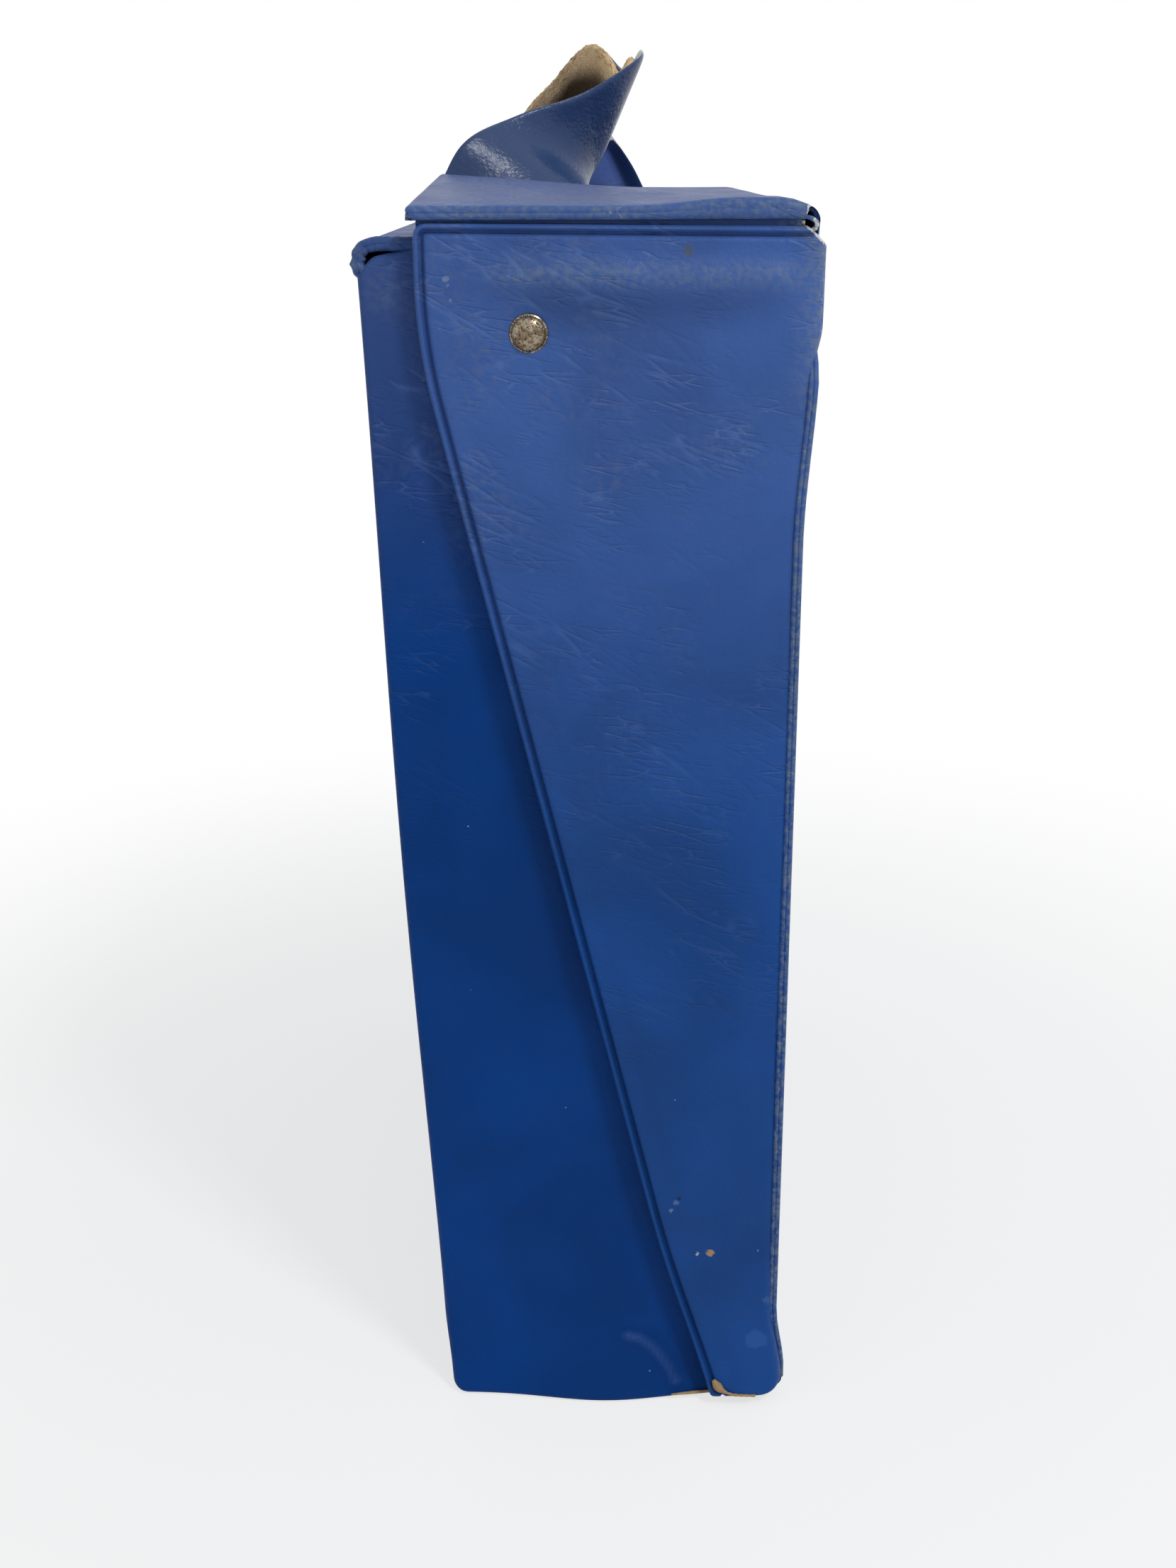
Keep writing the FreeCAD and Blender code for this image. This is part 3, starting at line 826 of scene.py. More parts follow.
def make_flap(name, side, material, torn):
    """One end's flap with its skin, board and welt in one shell, tucked under the lid's rim at the top."""
    low, high = span(name + "_flap_welt")
    outer = max(abs(low[1]), abs(high[1]))
    thickness = high[1] - low[1]
    line = flap_line(low, high)
    x, z, from_fold = flap_grid(line, low, high, torn)
    distance = line_distance(x, z, line[1:])
    relief = flap_relief(name, side, x, z, distance, from_fold, torn)
    past_rim = ease(0, 0.8, distance)
    back = -thickness * past_rim + 0.65 * ease(1.7, 2.2, distance) + SHUT_RIM - thickness / 2 * (1 - past_rim)
    back = np.minimum(back, relief - SHUT_RIM)
    flare = foot_flare(x, z, side)
    height = flap_height(x, z, low, high)
    faces = [joined(x, side * (outer + depth + flare), height) for depth in (relief, back)]
    marks = flap_marks(x, z, distance, from_fold, high[2], torn)
    piece = add_piece(name + "_flap", shell_mesh(*faces), material, "lid", "blue_vinyl", **marks)
    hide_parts(name + "_flap_skin", name + "_flap_welt", name + "_flap_board")


def make_flap_lining(name, side, material, torn):
    """Lining on the inside of a flap, which follows its fold and its flared foot."""
    low, high = span(name + "_flap_lining")
    welt_low, welt_high = span(name + "_flap_welt")
    line = flap_line(welt_low, welt_high)
    heights = np.linspace(low[2], high[2], 90)
    left = np.interp(heights, line[1:-1, 1], line[1:-1, 0]) + BEAD
    right = np.minimum(flap_right_edge(heights, welt_low, welt_high, torn) - BEAD, high[0])
    x = left[:, None] + (right - left)[:, None] * np.linspace(0, 1, 30)
    z = np.repeat(heights[:, None], x.shape[1], axis=1)
    depths = sorted((abs(low[1]), abs(high[1])))
    faces = [joined(x, side * (depth + foot_flare(x, z, side)), z) for depth in depths]
    piece = add_piece(name + "_flap_inside", shell_mesh(*faces), material, "lid", "lining")
    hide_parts(name + "_flap_lining")


# Sides of the tray
def front_bow(z):
    """How far the tray's front swells out at a height."""
    height_share = np.clip(z / wrap_high[2], 0, 1)
    return FRONT_BULGE * ease(0, 20, z) + FRONT_BOW * np.sin(math.pi * height_share) ** 2


def front_line(z):
    """Place across the box of the tray's leaning front."""
    lean = FRONT_LEAN * z / wrap_high[2]
    return front_foot - lean - front_bow(z) + quarter_round(z, FOLD_RADIUS)


def make_tray_side(name, side, material, creased):
    """One end wall's skin, with turned edges and a sloping shoulder under the lid."""
    low, high = span(name + "_side_skin")
    outer = max(abs(low[1]), abs(high[1]))
    shoulder_z = high[2] - SHOULDER_DROP
    shoulder_x = front_line(shoulder_z)
    top_line = rounded_line([
        (shoulder_x, shoulder_z),
        (shoulder_x + SHOULDER_STEP, shoulder_z + SHOULDER_STEP, SHOULDER_STEP),
        (shoulder_x + SHOULDER_RUN, high[2], SHOULDER_RADIUS),
        (high[0], high[2]),
    ])
    foot_steps = np.concatenate([EDGE_STEPS, np.arange(5.2, 17, 0.6)])
    z_share = spread(high[2], 2.2, first=foot_steps) / high[2]
    x_share = spread(high[0] - front_foot, 0.9) / (high[0] - front_foot)
    z = np.repeat(z_share[:, None] * high[2], len(x_share), axis=1)
    for _ in range(4):
        left = front_line(z)
        x = left + (high[0] - left) * x_share[None, :]
        z = z_share[:, None] * np.interp(x, top_line[:, 0], top_line[:, 1])
    # Edges rounded back from the outline, soft panel and crease
    straight = np.linspace(FOLD_RADIUS, shoulder_z, 60)
    heights = np.concatenate([np.linspace(0, FOLD_RADIUS, 16), straight[1:]])
    front_edge = joined(front_line(heights), heights)
    outline = np.concatenate([[(high[0], 0)], front_edge, top_line[1:]])
    distance = line_distance(x, z, outline)
    relief = -quarter_round(distance, SIDE_EDGE_RADIUS)
    dents = 0.3 * ripple(x, z, 55, 41 + side) + 0.08 * ripple(x, z, 14, 51 + side)
    relief += ease(2, 14, distance) * (SIDE_SWELL + dents)
    flare = foot_flare(x, z, side)
    if creased:
        above = np.where(z > np.interp(x, CREASE[:, 0], CREASE[:, 1]), 1.0, -1.0)
        from_crease = line_distance(x, z, CREASE) * above
        relief += 0.6 * hill(from_crease, -0.8, 0.9) - 0.5 * hill(from_crease, 0.9, 1.0)
    past_edge = ease(0, 0.5, distance)
    back = np.where(distance < 1.2, -SIDE_STACK, -VINYL + 0.03) * past_edge
    back = np.minimum(back - SIDE_EDGE_RADIUS * (1 - past_edge), relief - SHUT_RIM)
    faces = [joined(x, side * (outer + depth + flare), z) for depth in (relief, back)]
    scuffed_shoulder = 0.2 * hill(np.hypot(x - shoulder_x - 4.5, z - shoulder_z + 3.5), 0, 4.5)
    wear = np.maximum(0.1 * ease(1.6, 0.3, distance), scuffed_shoulder)
    # Painted highlight along the crease, on the upper shoulder of its bulge
    faded = 0.05 * hill(from_crease, -0.3, 0.7) if creased else 0 * wear
    marks = {"wear": both(wear), "faded": both(faded)}
    piece = add_piece(name + "_tray_side", shell_mesh(*faces), material, "tray", "blue_vinyl", **marks)
    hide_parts(name + "_side_skin")


# Sheets that follow a line across the box: the lid's cover and the tray's wrap
def rim_profile(length, step, rims=2):
    """Places across a sheet with rolled rims: distance from the edge, and share of the rim's drop at each."""
    rim_inset = RIM_REACH * (1 - np.cos(RIM_TURNS))
    rim_drop = (1 - np.sin(RIM_TURNS)) / 2
    count = round((length - rims * RIM_REACH) / step)
    flat = np.linspace(RIM_REACH, length - (rims - 1) * RIM_REACH, count + 1)[1:]
    if rims == 1:
        return np.concatenate([rim_inset, flat]), np.concatenate([rim_drop, 0 * flat])
    inset = np.concatenate([rim_inset, flat[:-1], (length - rim_inset)[::-1]])
    drop = np.concatenate([rim_drop, 0 * flat[:-1], rim_drop[::-1]])
    return inset, drop


def corner_round(first, second, radius):
    """Moves places near a square corner so that the corner is round. Both are distances from the edges."""
    a = np.clip(1 - first / radius, 0, 1)
    b = np.clip(1 - second / radius, 0, 1)
    larger = np.maximum(a, b)
    safe = np.maximum(larger, 1e-9)
    turn = np.where(a >= b, b / safe, 2 - a / safe) * math.pi / 4
    in_corner = (larger > 1e-6) & (first < radius) & (second < radius)
    first_moved = np.where(in_corner, radius * (1 - larger * np.cos(turn)), first)
    second_moved = np.where(in_corner, radius * (1 - larger * np.sin(turn)), second)
    return first_moved, second_moved


def near_pull(y):
    """Share of the pull of the near end of the strap on the top."""
    near_slit = span("near_handle_clip")[0][1]
    rising = np.clip((y + cover_high[1]) / (near_slit + cover_high[1]), 0, 1)
    return np.where(y < near_slit, rising, hill(y, near_slit, 40))


def top_relief(x, y):
    """The top is pulled up at the near slit, most at the left, and swells at the near right corner."""
    pull = (NEAR_PULL - NEAR_PULL_SLANT * x) * near_pull(y) * ease(38, 26, x)
    far_pull = FAR_PULL * hill(y, 53, 18) * hill(x, -4, 20)
    swell = CORNER_SWELL * ease(4, 22, x) * ease(35.5, 30, x) * hill(y, -98, 26)
    return pull + far_pull + swell + 0.2 * ripple(x, y, 50, 61) * ease(-101, -90, y)


def make_cover(material):
    """Top and back of the lid in one sheet, with rolled rims and a torn near corner at the fold."""
    half = cover_high[1]
    top_run = cover_high[0] - cover_low[0] - FOLD_RADIUS
    back_run = cover_high[2] - FOLD_RADIUS - HINGE_RISE
    inset, drop = rim_profile(2 * half, 2.6)
    run, run_drop = rim_profile(top_run, 2.2, rims=1)
    fold = top_run + FOLD_RADIUS * np.radians(np.linspace(0, 90, 10)[1:])
    back = fold[-1] + np.linspace(0, back_run, 70)[1:]
    # Places along the sheet, from the left edge over the fold and down the back, and across it
    s = np.concatenate([run, fold, back])
    s_drop = np.concatenate([run_drop, 0 * fold, 0 * back])
    from_left, from_near = np.meshgrid(s, inset, indexing="ij")
    from_far = 2 * half - from_near
    from_left, near_moved = corner_round(from_left, from_near, COVER_CORNER_RADIUS)
    from_left, far_moved = corner_round(from_left, from_far, COVER_CORNER_RADIUS)
    y = np.where(from_near < half, -half + near_moved, half - far_moved)
    turn = np.clip((from_left - top_run) / FOLD_RADIUS, 0, math.pi / 2)
    down = np.maximum(from_left - fold[-1], 0)
    on_back = ease(0.6, 1.0, turn / (math.pi / 2))
    normal_x = np.sin(turn)
    normal_z = np.cos(turn)
    fold_x = cover_high[0] - FOLD_RADIUS
    overhang = COVER_OVERHANG * ease(16, 0, from_left) * (1 - 2.2 * near_pull(y))
    x = np.where(from_left < top_run, cover_low[0] + from_left - overhang, fold_x + FOLD_RADIUS * normal_x)
    fold_z = cover_high[2] - FOLD_RADIUS
    z = np.where(from_left < top_run, cover_high[2], fold_z + FOLD_RADIUS * normal_z) - down
    # Rims, torn corner, welded seam and cushions, as a depth below the level sheet
    into_tear = from_left - top_run
    torn = ease(0.2, 1.4, into_tear) * ease(8.6, 6.8, into_tear) * (from_near < half)
    rim_height = RIM_HEIGHT * (1 - on_back) + BACK_RIM_HEIGHT * on_back
    rim_drop = np.maximum(s_drop[:, None], drop[None, :])
    depth = rim_drop * rim_height * (1 - torn)
    edge = np.minimum(from_near, from_far)
    back_share = ease(0, 6, down)
    weld = BACK_WELD * hill(edge, WELD_INSET, WELD_WIDTH) * back_share
    cushion = BACK_CUSHION * ease(8, 40, edge) * ease(3, 40, down) * ease(0, 40, back_run - down)
    cushion += back_share * ease(4, 20, edge) * 0.3 * ripple(y, z, 60, 71)
    hem = HEM_RISE * ease(5.0, 0.5, from_near) * ease(18, 28, down)
    depth = depth + weld - cushion - hem
    # The pulled top, the drawn-in back edge and the shift of the rims along the box
    raised = top_relief(x, y) * (1 - ease(0, 1, turn))
    draw = back_draw(z) * on_back * ease(-30, -98, y)
    x = x - normal_x * depth - draw
    z = z - normal_z * depth + raised * (1 - rim_drop)
    tear = TEAR_DEPTH * torn * (1 + 0.16 * ripple(from_left, 0 * s[:, None], 1.6, 81))
    y = y + tear * ease(7.0, 0.0, from_near)
    y = y + RIM_TUCK * ease(222, 231, z) * on_back * (1 - torn) * ease(14, 0, from_near)
    rim_share = ease(3.0, 0.5, edge) * (1 - on_back) * (1 - torn)
    y = y + np.where(from_near < half, -RIM_BULGE, RIM_BULGE) * rim_share
    # Bare, scuffed and dusty places, then the sheet's back with its board
    wear = ease(1.6, 0.3, from_near) * np.maximum(hill(into_tear, 0.7, 0.7), hill(into_tear, 8.0, 0.8))
    scuffs = ease(2.6, 0.4, np.minimum(from_near, from_left)) * (1 - on_back)
    scuffs *= 0.34 + 0.14 * ripple(from_left, y, 9, 83)
    rubbed_hem = 0.42 * ease(1.8, 0.2, from_near) * ease(20, 30, down)
    wear = np.maximum(wear, np.maximum(scuffs, rubbed_hem))
    dust = (1 - on_back) * ease(0.8, 5.0, edge)
    board_share = ease(4, 6, edge) * ease(2, 8, down) * ease(0, 4, back_run - down)
    backed = np.maximum(BACK_BOARD - draw, 0) * board_share
    front_points = joined(x, y, z)
    outward = joined(normal_x, 0 * normal_x, normal_z)
    back_points = front_points - outward * (VINYL + backed)[..., None]
    shell = shell_mesh(front_points, back_points)
    marks = {"wear": both(wear), "dust": np.stack([dust, 0 * dust])}
    piece = add_piece("lid_cover", shell, material, "lid", "blue_vinyl", **marks)
    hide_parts("lid_cover_skin", "lid_back_board")


def make_wrap(material):
    """Lip, front and bottom of the tray in one sheet, with a ragged ear at the near top corner."""
    half = wrap_high[1]
    lip_z = wrap_high[2]
    line = rounded_line([
        (cover_low[0] + LIP_TUCK, lip_z),
        (front_foot - FRONT_LEAN, lip_z, LIP_RADIUS),
        (front_foot, 0, FOLD_RADIUS),
        (cover_high[0] - HINGE_REACH, 0),
    ])
    lengths = run_lengths(line)
    places = np.concatenate([np.linspace(0, lengths[-1], 150), np.linspace(8, 32, 50)])
    places = np.unique(np.round(places, 3))
    # Line across the box, swollen at the front, with its normals
    px = np.interp(places, lengths, line[:, 0])
    pz = np.interp(places, lengths, line[:, 1])
    px = px - front_bow(pz) * ease(0, 1, front_line(lip_z) + 20 - px)
    along = unit(joined(np.gradient(px, places), np.gradient(pz, places)))
    normal = joined(along[:, 1], -along[:, 0])
    inset, drop = rim_profile(2 * half, 2.6)
    s, from_near = np.meshgrid(places, inset, indexing="ij")
    from_far = 2 * half - from_near
    edge = np.minimum(from_near, from_far)
    z_line = pz[:, None]
    on_lip = ease(lip_z - 10, lip_z - 5, z_line) * np.ones(s.shape)
    on_front = ease(4, 12, z_line) * ease(lip_z - 6, lip_z - 16, z_line) * np.ones(s.shape)
    # Rims, welded seam, cushion and ear, as an offset along the normals
    rim_height = 1.0 + 0.9 * on_lip
    depth = drop[None, :] * rim_height
    weld = FRONT_WELD * hill(edge, WELD_INSET, WELD_WIDTH) * on_front
    cushion = on_front * ease(8, 40, edge) * (FRONT_CUSHION + 0.35 * ripple(s, from_near, 60, 91))
    cushion += on_front * ease(3, 12, edge) * 0.15 * ripple(s, from_near, 18, 95)
    ear = hill(z_line, EAR_HEIGHT, 4.0) * ease(7, 1, from_near) * ease(0.2, 0.8, on_lip)
    set_in = WRAP_SET_IN * (1 - on_lip) * ease(5, 0, edge)
    offset = cushion - weld - depth - set_in + ear * (1.1 + 0.5 * ripple(s, from_near, 2.4, 97))
    x = px[:, None] + normal[:, :1] * offset
    z = pz[:, None] + normal[:, 1:] * offset
    z = np.maximum(z, 0.0)
    # Shift of the rims along the box, at the lip, the ear and the foot
    ragged = ear * 0.55 * ripple(s, 0 * s, 1.5, 99)
    reach = LIP_REACH * on_lip - WRAP_TUCK * ease(9, 3, z_line)
    y = -half + from_near - (reach + ragged) * ease(9, 0, from_near) + reach * ease(9, 0, from_far)
    y = y - foot_flare(x, z) * ease(12, 0, from_near) + foot_flare(x, z, 1) * ease(12, 0, from_far)
    wear = np.maximum(0.15 * ease(1.5, 0.3, edge), 0.34 * ear)
    front_points = joined(x, y, z)
    outward = joined(normal[:, 0], 0 * normal[:, 0], normal[:, 1])
    shell = shell_mesh(front_points, front_points - VINYL * outward[:, None, :])
    piece = add_piece("tray_wrap", shell, material, "tray", "blue_vinyl", wear=both(wear))
    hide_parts("body_wrap_skin")


# Fold of vinyl that hinges the lid to the tray
def make_hinge_fold(material):
    """Strip of vinyl round the bottom back edge."""
    line = rounded_line([
        (cover_high[0] - HINGE_REACH, 0),
        (cover_high[0] + HINGE_PLAY, 0, HINGE_RADIUS),
        (cover_high[0] + HINGE_PLAY, HINGE_RISE + 0.3),
    ])
    centre = np.array([cover_high[0] - HINGE_REACH, HINGE_RISE])
    half = cover_high[1] - HINGE_INSET
    across = np.linspace(-half, half, 90)
    bulge = HINGE_BULGE * hill(line[:, 1], 2.6, 2.0)
    rows = []
    for y in across:
        swell = 1 + 0.25 * ripple(np.array([y]), np.array([0.0]), 30, 101)[0]
        x = line[:, 0] + bulge * swell
        outside = joined(x, np.full(len(line), y), line[:, 1])
        toward = unit(centre - line)
        inside = outside + VINYL * joined(toward[:, 0], 0 * toward[:, 0], toward[:, 1])
        inside[:, 2] = np.maximum(inside[:, 2], VINYL * 0.5)
        rows.append(np.concatenate([outside, inside[::-1]]))
    wear = 0.2 * np.ones((len(across), 2 * len(line)))
    piece = add_piece("hinge_fold", loop_mesh(np.array(rows)), material, None, "blue_vinyl", wear=wear)
    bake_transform(piece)


# Strap handle
def strap_edges(count):
    """Left and right edges of the limp strap on smooth curves through its stations."""
    ends = [(low + high) / 2 for low, high in (span("near_handle_clip"), span("far_handle_clip"))]
    edges = []
    for side in (0, 1):
        points = []
        for station in STRAP_STATIONS:
            share, across, rise = station[side]
            place = ends[0] + (ends[1] - ends[0]) * share
            points.append((place[0] + across * STRAP_WIDTH, place[1], cover_high[2] + rise * HANDLE_RISE))
        edges.append(np.array(points))
    middle = (edges[0] + edges[1]) / 2
    knots = run_lengths(middle)
    return [smooth_between(edge, knots, count) for edge in edges], knots


def ribbon_shares(columns):
    """Places across a ribbon, closer together at its edges."""
    return (1 - np.cos(np.linspace(0, math.pi, columns))) / 2


def ribbon_loops(left, right, outward, outside, inside, columns):
    """Closed sections of a ribbon with round edges, between two depths from its middle sheet."""
    shares = ribbon_shares(columns)
    round_off = np.sqrt(np.maximum(1 - (2 * shares - 1) ** 16, 0.04))
    middle = (outside + inside) / 2
    half = (outside - inside) / 2
    loops = []
    for a, b, normal in zip(left, right, outward):
        flat = a + (b - a) * shares[:, None]
        upper = flat + normal * (middle + half * round_off[:, None])
        lower = flat + normal * (middle - half * round_off[:, None])
        loops.append(np.concatenate([upper, lower[::-1]]))
    return np.array(loops)


def strap_sheet():
    """Middle sheet of the strap: its two edges, its outward direction at each step, its stations' places."""
    (left, right), knots = strap_edges(STRAP_STEPS)
    along = unit(np.gradient((left + right) / 2, axis=0))
    outward = unit(np.cross(unit(right - left), along))
    outward[0] = (0, -1, 0)
    outward[-1] = (0, 1, 0)
    for _ in range(6):
        padded = np.concatenate([outward[:1], outward, outward[-1:]])
        outward = unit(0.25 * padded[:-2] + 0.5 * padded[1:-1] + 0.25 * padded[2:])
    return left, right, outward, knots


def make_strap(vinyl):
    """Limp strap with a leg into each slit."""
    left, right, outward, knots = strap_sheet()
    leg = np.array([0, 0, -STRAP_LEG])
    edges = [np.concatenate([edge[:1] + leg, edge, edge[-1:] + leg]) for edge in (left, right)]
    outward_full = np.concatenate([outward[:1], outward, outward[-1:]])
    loops = ribbon_loops(*edges, outward_full, STRAP / 2, -STRAP / 2, STRAP_COLUMNS)
    share = np.linspace(0, 1, STRAP_STEPS + 2)
    at_tip = hill(share, knots[TIP_STATION] / knots[-1], 0.06)
    across_share = ribbon_shares(STRAP_COLUMNS)
    edge_share = np.concatenate([across_share, across_share[::-1]])
    wear = at_tip[:, None] * ease(0.12, 0.04, edge_share)[None, :]
    # Painted light on the lit face of the far leg
    faded = ease(0.80, 0.88, share)[:, None] * ease(0.88, 0.78, edge_share)[None, :]
    strap = add_piece("strap", loop_mesh(loops), vinyl, "lid", "blue_vinyl", wear=wear, faded=faded)
    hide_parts("handle_strap")


def make_backing(felt):
    """Felt on the inside of the strap's grip, set in at first, then wider than the strap and tapered."""
    left, right, outward, knots = strap_sheet()
    across = unit(right - left)
    places = np.linspace(0, knots[-1], STRAP_STEPS)
    backed = (places >= knots[BACKED_STATIONS[0]]) & (places <= knots[BACKED_STATIONS[1]])
    share = np.linspace(0, 1, STRAP_STEPS)
    overhang = BACKING_INSET + (BACKING_OVERHANG - BACKING_INSET) * ease(0.46, 0.6, share)
    taper = BACKING_TAPER * ease(0.66, 0.76, share)
    backing_left = (left - across * overhang[:, None])[backed]
    backing_right = (right + across * overhang[:, None] - (right - left) * taper[:, None])[backed]
    top = -STRAP / 2 + 0.1
    bottom = -STRAP / 2 - BACKING
    backing = ribbon_loops(backing_left, backing_right, outward[backed], top, bottom, BACKING_COLUMNS)
    fuzz = np.random.default_rng(7).normal(0, 0.09, backing.shape)
    from_edge = np.concatenate([np.linspace(0, 1, BACKING_COLUMNS), np.linspace(1, 0, BACKING_COLUMNS)])
    # Painted shade, darker away from the felt's edges, for the inside of the strap's fold
    grime = np.repeat(ease(0.22, 0.42, from_edge)[None, :], len(backing), axis=0)
    felt_piece = add_piece("strap_backing", loop_mesh(backing + fuzz), felt, "lid", "felt", grime=grime)
    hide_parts("handle_backing")


# Snap caps, bare board and torn bits
def make_snap_cap(name, side, material):
    """Domed cap with a rolled rim, pressed into the flap."""
    low, high = span(name + "_snap_cap")
    centre = (low + high) / 2
    seat = span(name + "_flap_skin")
    seat_y = side * max(abs(seat[0][1]), abs(seat[1][1]))
    turns = np.linspace(0, 2 * math.pi, CAP_STEPS, endpoint=False)
    rings = []
    for radius, rise in CAP_PROFILE:
        height = np.full(CAP_STEPS, seat_y + side * rise)
        rings.append(joined(centre[0] + radius * np.cos(turns), height, centre[2] + radius * np.sin(turns)))
    piece = add_piece(name + "_cap", loop_mesh(np.array(rings)), material, "lid", "snap_metal")
    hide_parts(name + "_snap_cap")


def make_bare_tip(cardboard):
    """Bare board at the near flap's tip."""
    flap_y = span("near_flap_skin")[0][1]
    tip = smooth_path([
        (21.7, flap_y - 0.5, 6.4),
        (22.5, flap_y - 0.6, 5.2),
        (23.7, flap_y - 0.6, 4.1),
        (25.6, flap_y - 0.5, 3.2),
        (28.4, flap_y - 0.4, 2.8),
        (31.0, flap_y - 0.2, 2.6),
    ], 40)
    tip[:, 1] -= foot_flare(tip[:, 0], tip[:, 2])
    share = np.linspace(0, 1, len(tip))
    radii = 0.28 + 0.72 * hill(share, 0.16, 0.14) + 0.06 * ripple(share * 40, 0 * share, 5, 3)
    add_piece("near_flap_bare_tip", tube_mesh(tip, radii), cardboard, "lid", "cardboard")


def make_bare_foot(cardboard):
    """Thin bare line along the foot of the tray's near side."""
    side_y = span("near_side_skin")[0][1]
    foot = smooth_path([
        (12.5, side_y - 0.9, 1.3),
        (18.0, side_y - 0.7, 1.25),
        (25.0, side_y - 0.4, 1.2),
    ], 24)
    foot[:, 1] -= foot_flare(foot[:, 0], foot[:, 2])
    radii = 0.15 + 0.2 * np.sin(np.linspace(0.1, math.pi - 0.1, len(foot)))
    add_piece("near_side_bare_foot", tube_mesh(foot, radii), cardboard, "tray", "cardboard")


def make_torn_bead(vinyl):
    """Torn end of the bead at the near top corner, bare towards its tip."""
    flap_y = span("near_flap_skin")[0][1]
    hook = smooth_path([
        (32.4, flap_y + 0.4, 252.0),
        (34.0, flap_y - 0.2, 251.9),
        (35.3, flap_y - 0.5, 251.5),
        (36.0, flap_y - 0.5, 250.8),
        (35.9, flap_y - 0.2, 250.0),
        (35.3, flap_y + 0.3, 249.6),
    ], 36)
    share = np.linspace(0, 1, len(hook))
    radii = 0.15 + 0.25 * ease(0, 0.5, share)
    wear = 0.75 * ease(0.35, 0.6, np.repeat(share, TUBE_SIDES))
    add_piece("near_torn_bead", tube_mesh(hook, radii), vinyl, "lid", "blue_vinyl", wear=wear)


# Stage
def seen_straight(tree):
    """1 for what the camera sees, also in a mirror or through glass, and 0 for light that only bounces."""
    light = node(tree, "LightPath")
    seen = combine(tree, "MAXIMUM", light.outputs["Is Camera Ray"], light.outputs["Is Glossy Ray"])
    return combine(tree, "MAXIMUM", seen, light.outputs["Is Transmission Ray"])


def make_floor():
    """Pale floor that fades to the white background away from the box and keeps the box's shadow."""
    size = 6000.0
    corners = [(-size, -size, -0.3), (size, -size, -0.3), (size, size, -0.3), (-size, size, -0.3)]
    mesh = bpy.data.meshes.new("floor")
    mesh.from_pydata((np.array(corners) * MM).tolist(), [], [(0, 1, 2, 3)])
    floor = add_object("floor", mesh)
    material, tree = new_material("floor")
    places = node(tree, "TexCoord").outputs["Object"]
    reach = node(tree, "VectorMath", {0: places}, operation="LENGTH").outputs["Value"]
    far = remap(tree, reach, 0.14, 0.42, 0.7, 1.0)
    matte = node(tree, "BsdfDiffuse", {"Color": (0.86, 0.86, 0.86)})
    white = node(tree, "Emission", {"Color": (1, 1, 1), "Strength": 1.0})
    share = times(tree, far, seen_straight(tree))
    surface = node(tree, "MixShader", {0: share, 1: matte.outputs[0], 2: white.outputs[0]})
    node(tree, "OutputMaterial", {"Surface": surface.outputs[0]})
    mesh.materials.append(material)


def make_world():
    world = bpy.data.worlds.new("studio")
    bpy.context.scene.world = world
    world.use_nodes = True
    tree = world.node_tree
    tree.nodes.clear()
    soft = node(tree, "Background", {"Color": (0.93, 0.96, 1.0), "Strength": 0.5})
    white = node(tree, "Background", {"Color": (1, 1, 1), "Strength": 1.0})
    surface = node(tree, "MixShader", {0: seen_straight(tree), 1: soft.outputs[0], 2: white.outputs[0]})
    node(tree, "OutputWorld", {"Surface": surface.outputs[0]})


def add_lamp(name, place, target, size, power):
    lamp = bpy.data.lights.new(name, "AREA")
    lamp.shape = "DISK"
    lamp.size = size
    lamp.energy = power
    holder = add_object(name, lamp)
    holder.location = place
    direction = np.array(target) - np.array(place)
    yaw = math.atan2(direction[0], -direction[1])
    pitch = math.acos(-direction[2] / np.linalg.norm(direction))
    holder.rotation_euler = (pitch, 0, -yaw + math.pi)


def make_camera():
    lens = bpy.data.cameras.new("camera")
    lens.sensor_fit = "VERTICAL"
    lens.sensor_height = SENSOR_HEIGHT
    lens.lens = FOCAL_LENGTH
    camera = add_object("camera", lens)
    camera.location = [place * MM for place in CAMERA_PLACE]
    camera.rotation_euler = (math.radians(CAMERA_PITCH), math.radians(CAMERA_ROLL), 0)
    bpy.context.scene.camera = camera


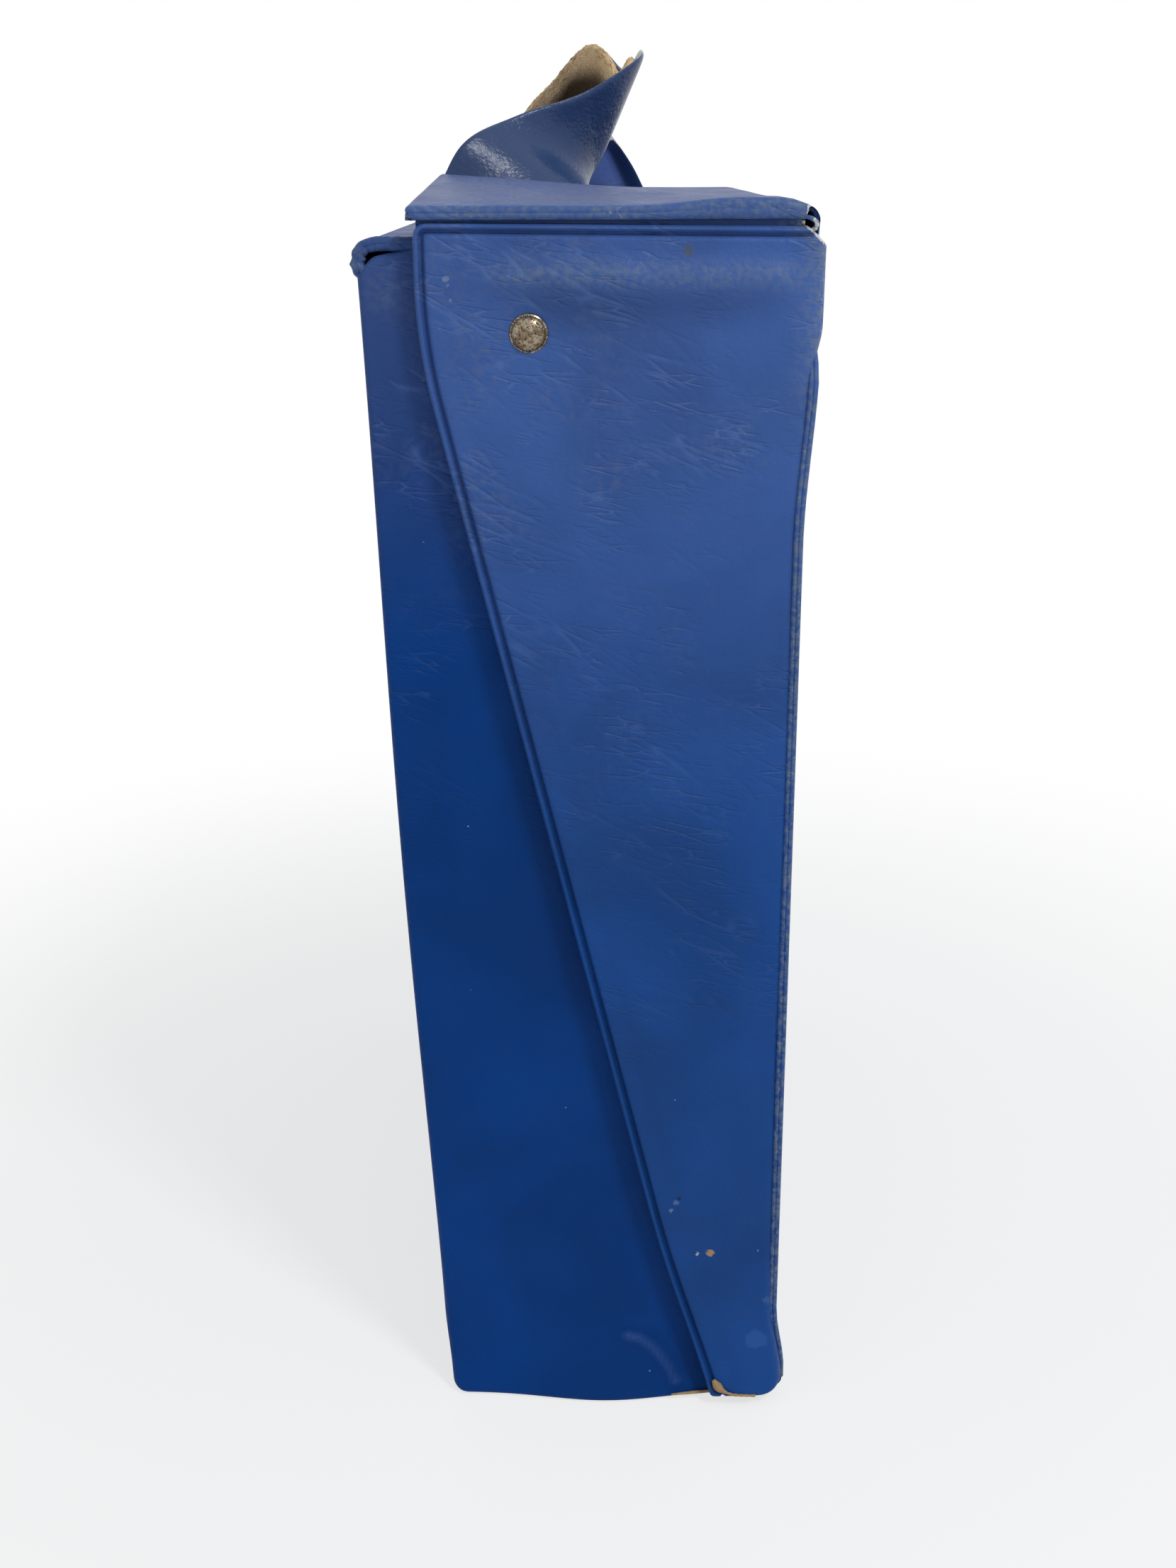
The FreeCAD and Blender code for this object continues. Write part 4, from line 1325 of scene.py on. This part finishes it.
def dress_nodes(materials):
    """Boards, linings, clips and the hidden halves of the snaps keep their frame shape and get a finish."""
    slots = {entry["node"]: entry["material_slot"] for entry in frame["record"]["subparts"]}
    for name, piece in frame["nodes"].items():
        piece.data.materials.clear()
        piece.data.materials.append(materials[slots[name]])


# Finishes, pieces and stage, in the order that they are made
lid_vinyl = {
    "near": make_vinyl("lid_vinyl_near", LID_LOW, LID_HIGH, (110, 245), 1, spots=FLAP_SPOTS),
    "far": make_vinyl("lid_vinyl_far", LID_LOW, LID_HIGH, (110, 245), 2),
}
tray_vinyl = make_vinyl("tray_vinyl", TRAY_LOW, TRAY_HIGH, (165, 245), 4, specular=0.09)
strap_vinyl = make_vinyl("strap_vinyl", STRAP_COLOR, STRAP_COLOR, (300, 400), 3, creased=0.0,
                         gloss=(0.24, 0.32), specular=0.36)
bare_board = make_cardboard("bare_board", LIGHT_BOARD, BARE_BOARD)
finishes = {
    "blue_vinyl": tray_vinyl,
    # Boards of the frame get dark board, painted shade in the gaps
    "cardboard": make_cardboard("painted_shade_board", PAINTED_SHADE_BOARD, DARK_BOARD),
    "lining": make_lining(),
    "snap_metal": make_snap_metal(),
    "clip_steel": make_steel(),
    "felt": make_felt(),
}
dress_nodes(finishes)
for end_name, end_side in (("near", -1), ("far", 1)):
    make_flap(end_name, end_side, lid_vinyl[end_name], end_name == "near")
    make_flap_lining(end_name, end_side, finishes["lining"], end_name == "near")
    make_tray_side(end_name, end_side, tray_vinyl, end_name == "near")
    make_snap_cap(end_name, end_side, finishes["snap_metal"])
make_cover(lid_vinyl["near"])
make_wrap(tray_vinyl)
make_hinge_fold(tray_vinyl)
make_strap(strap_vinyl)
make_backing(finishes["felt"])
make_bare_tip(bare_board)
make_bare_foot(bare_board)
make_torn_bead(lid_vinyl["near"])

make_floor()
make_world()
add_lamp("key", (0.61, -0.87, 1.32), (0, 0, 0.12), 0.4, 13)
add_lamp("fill", (-0.9, -0.6, 0.7), (0, 0, 0.12), 1.0, 3)
make_camera()
bpy.context.scene.view_settings.view_transform = "Standard"
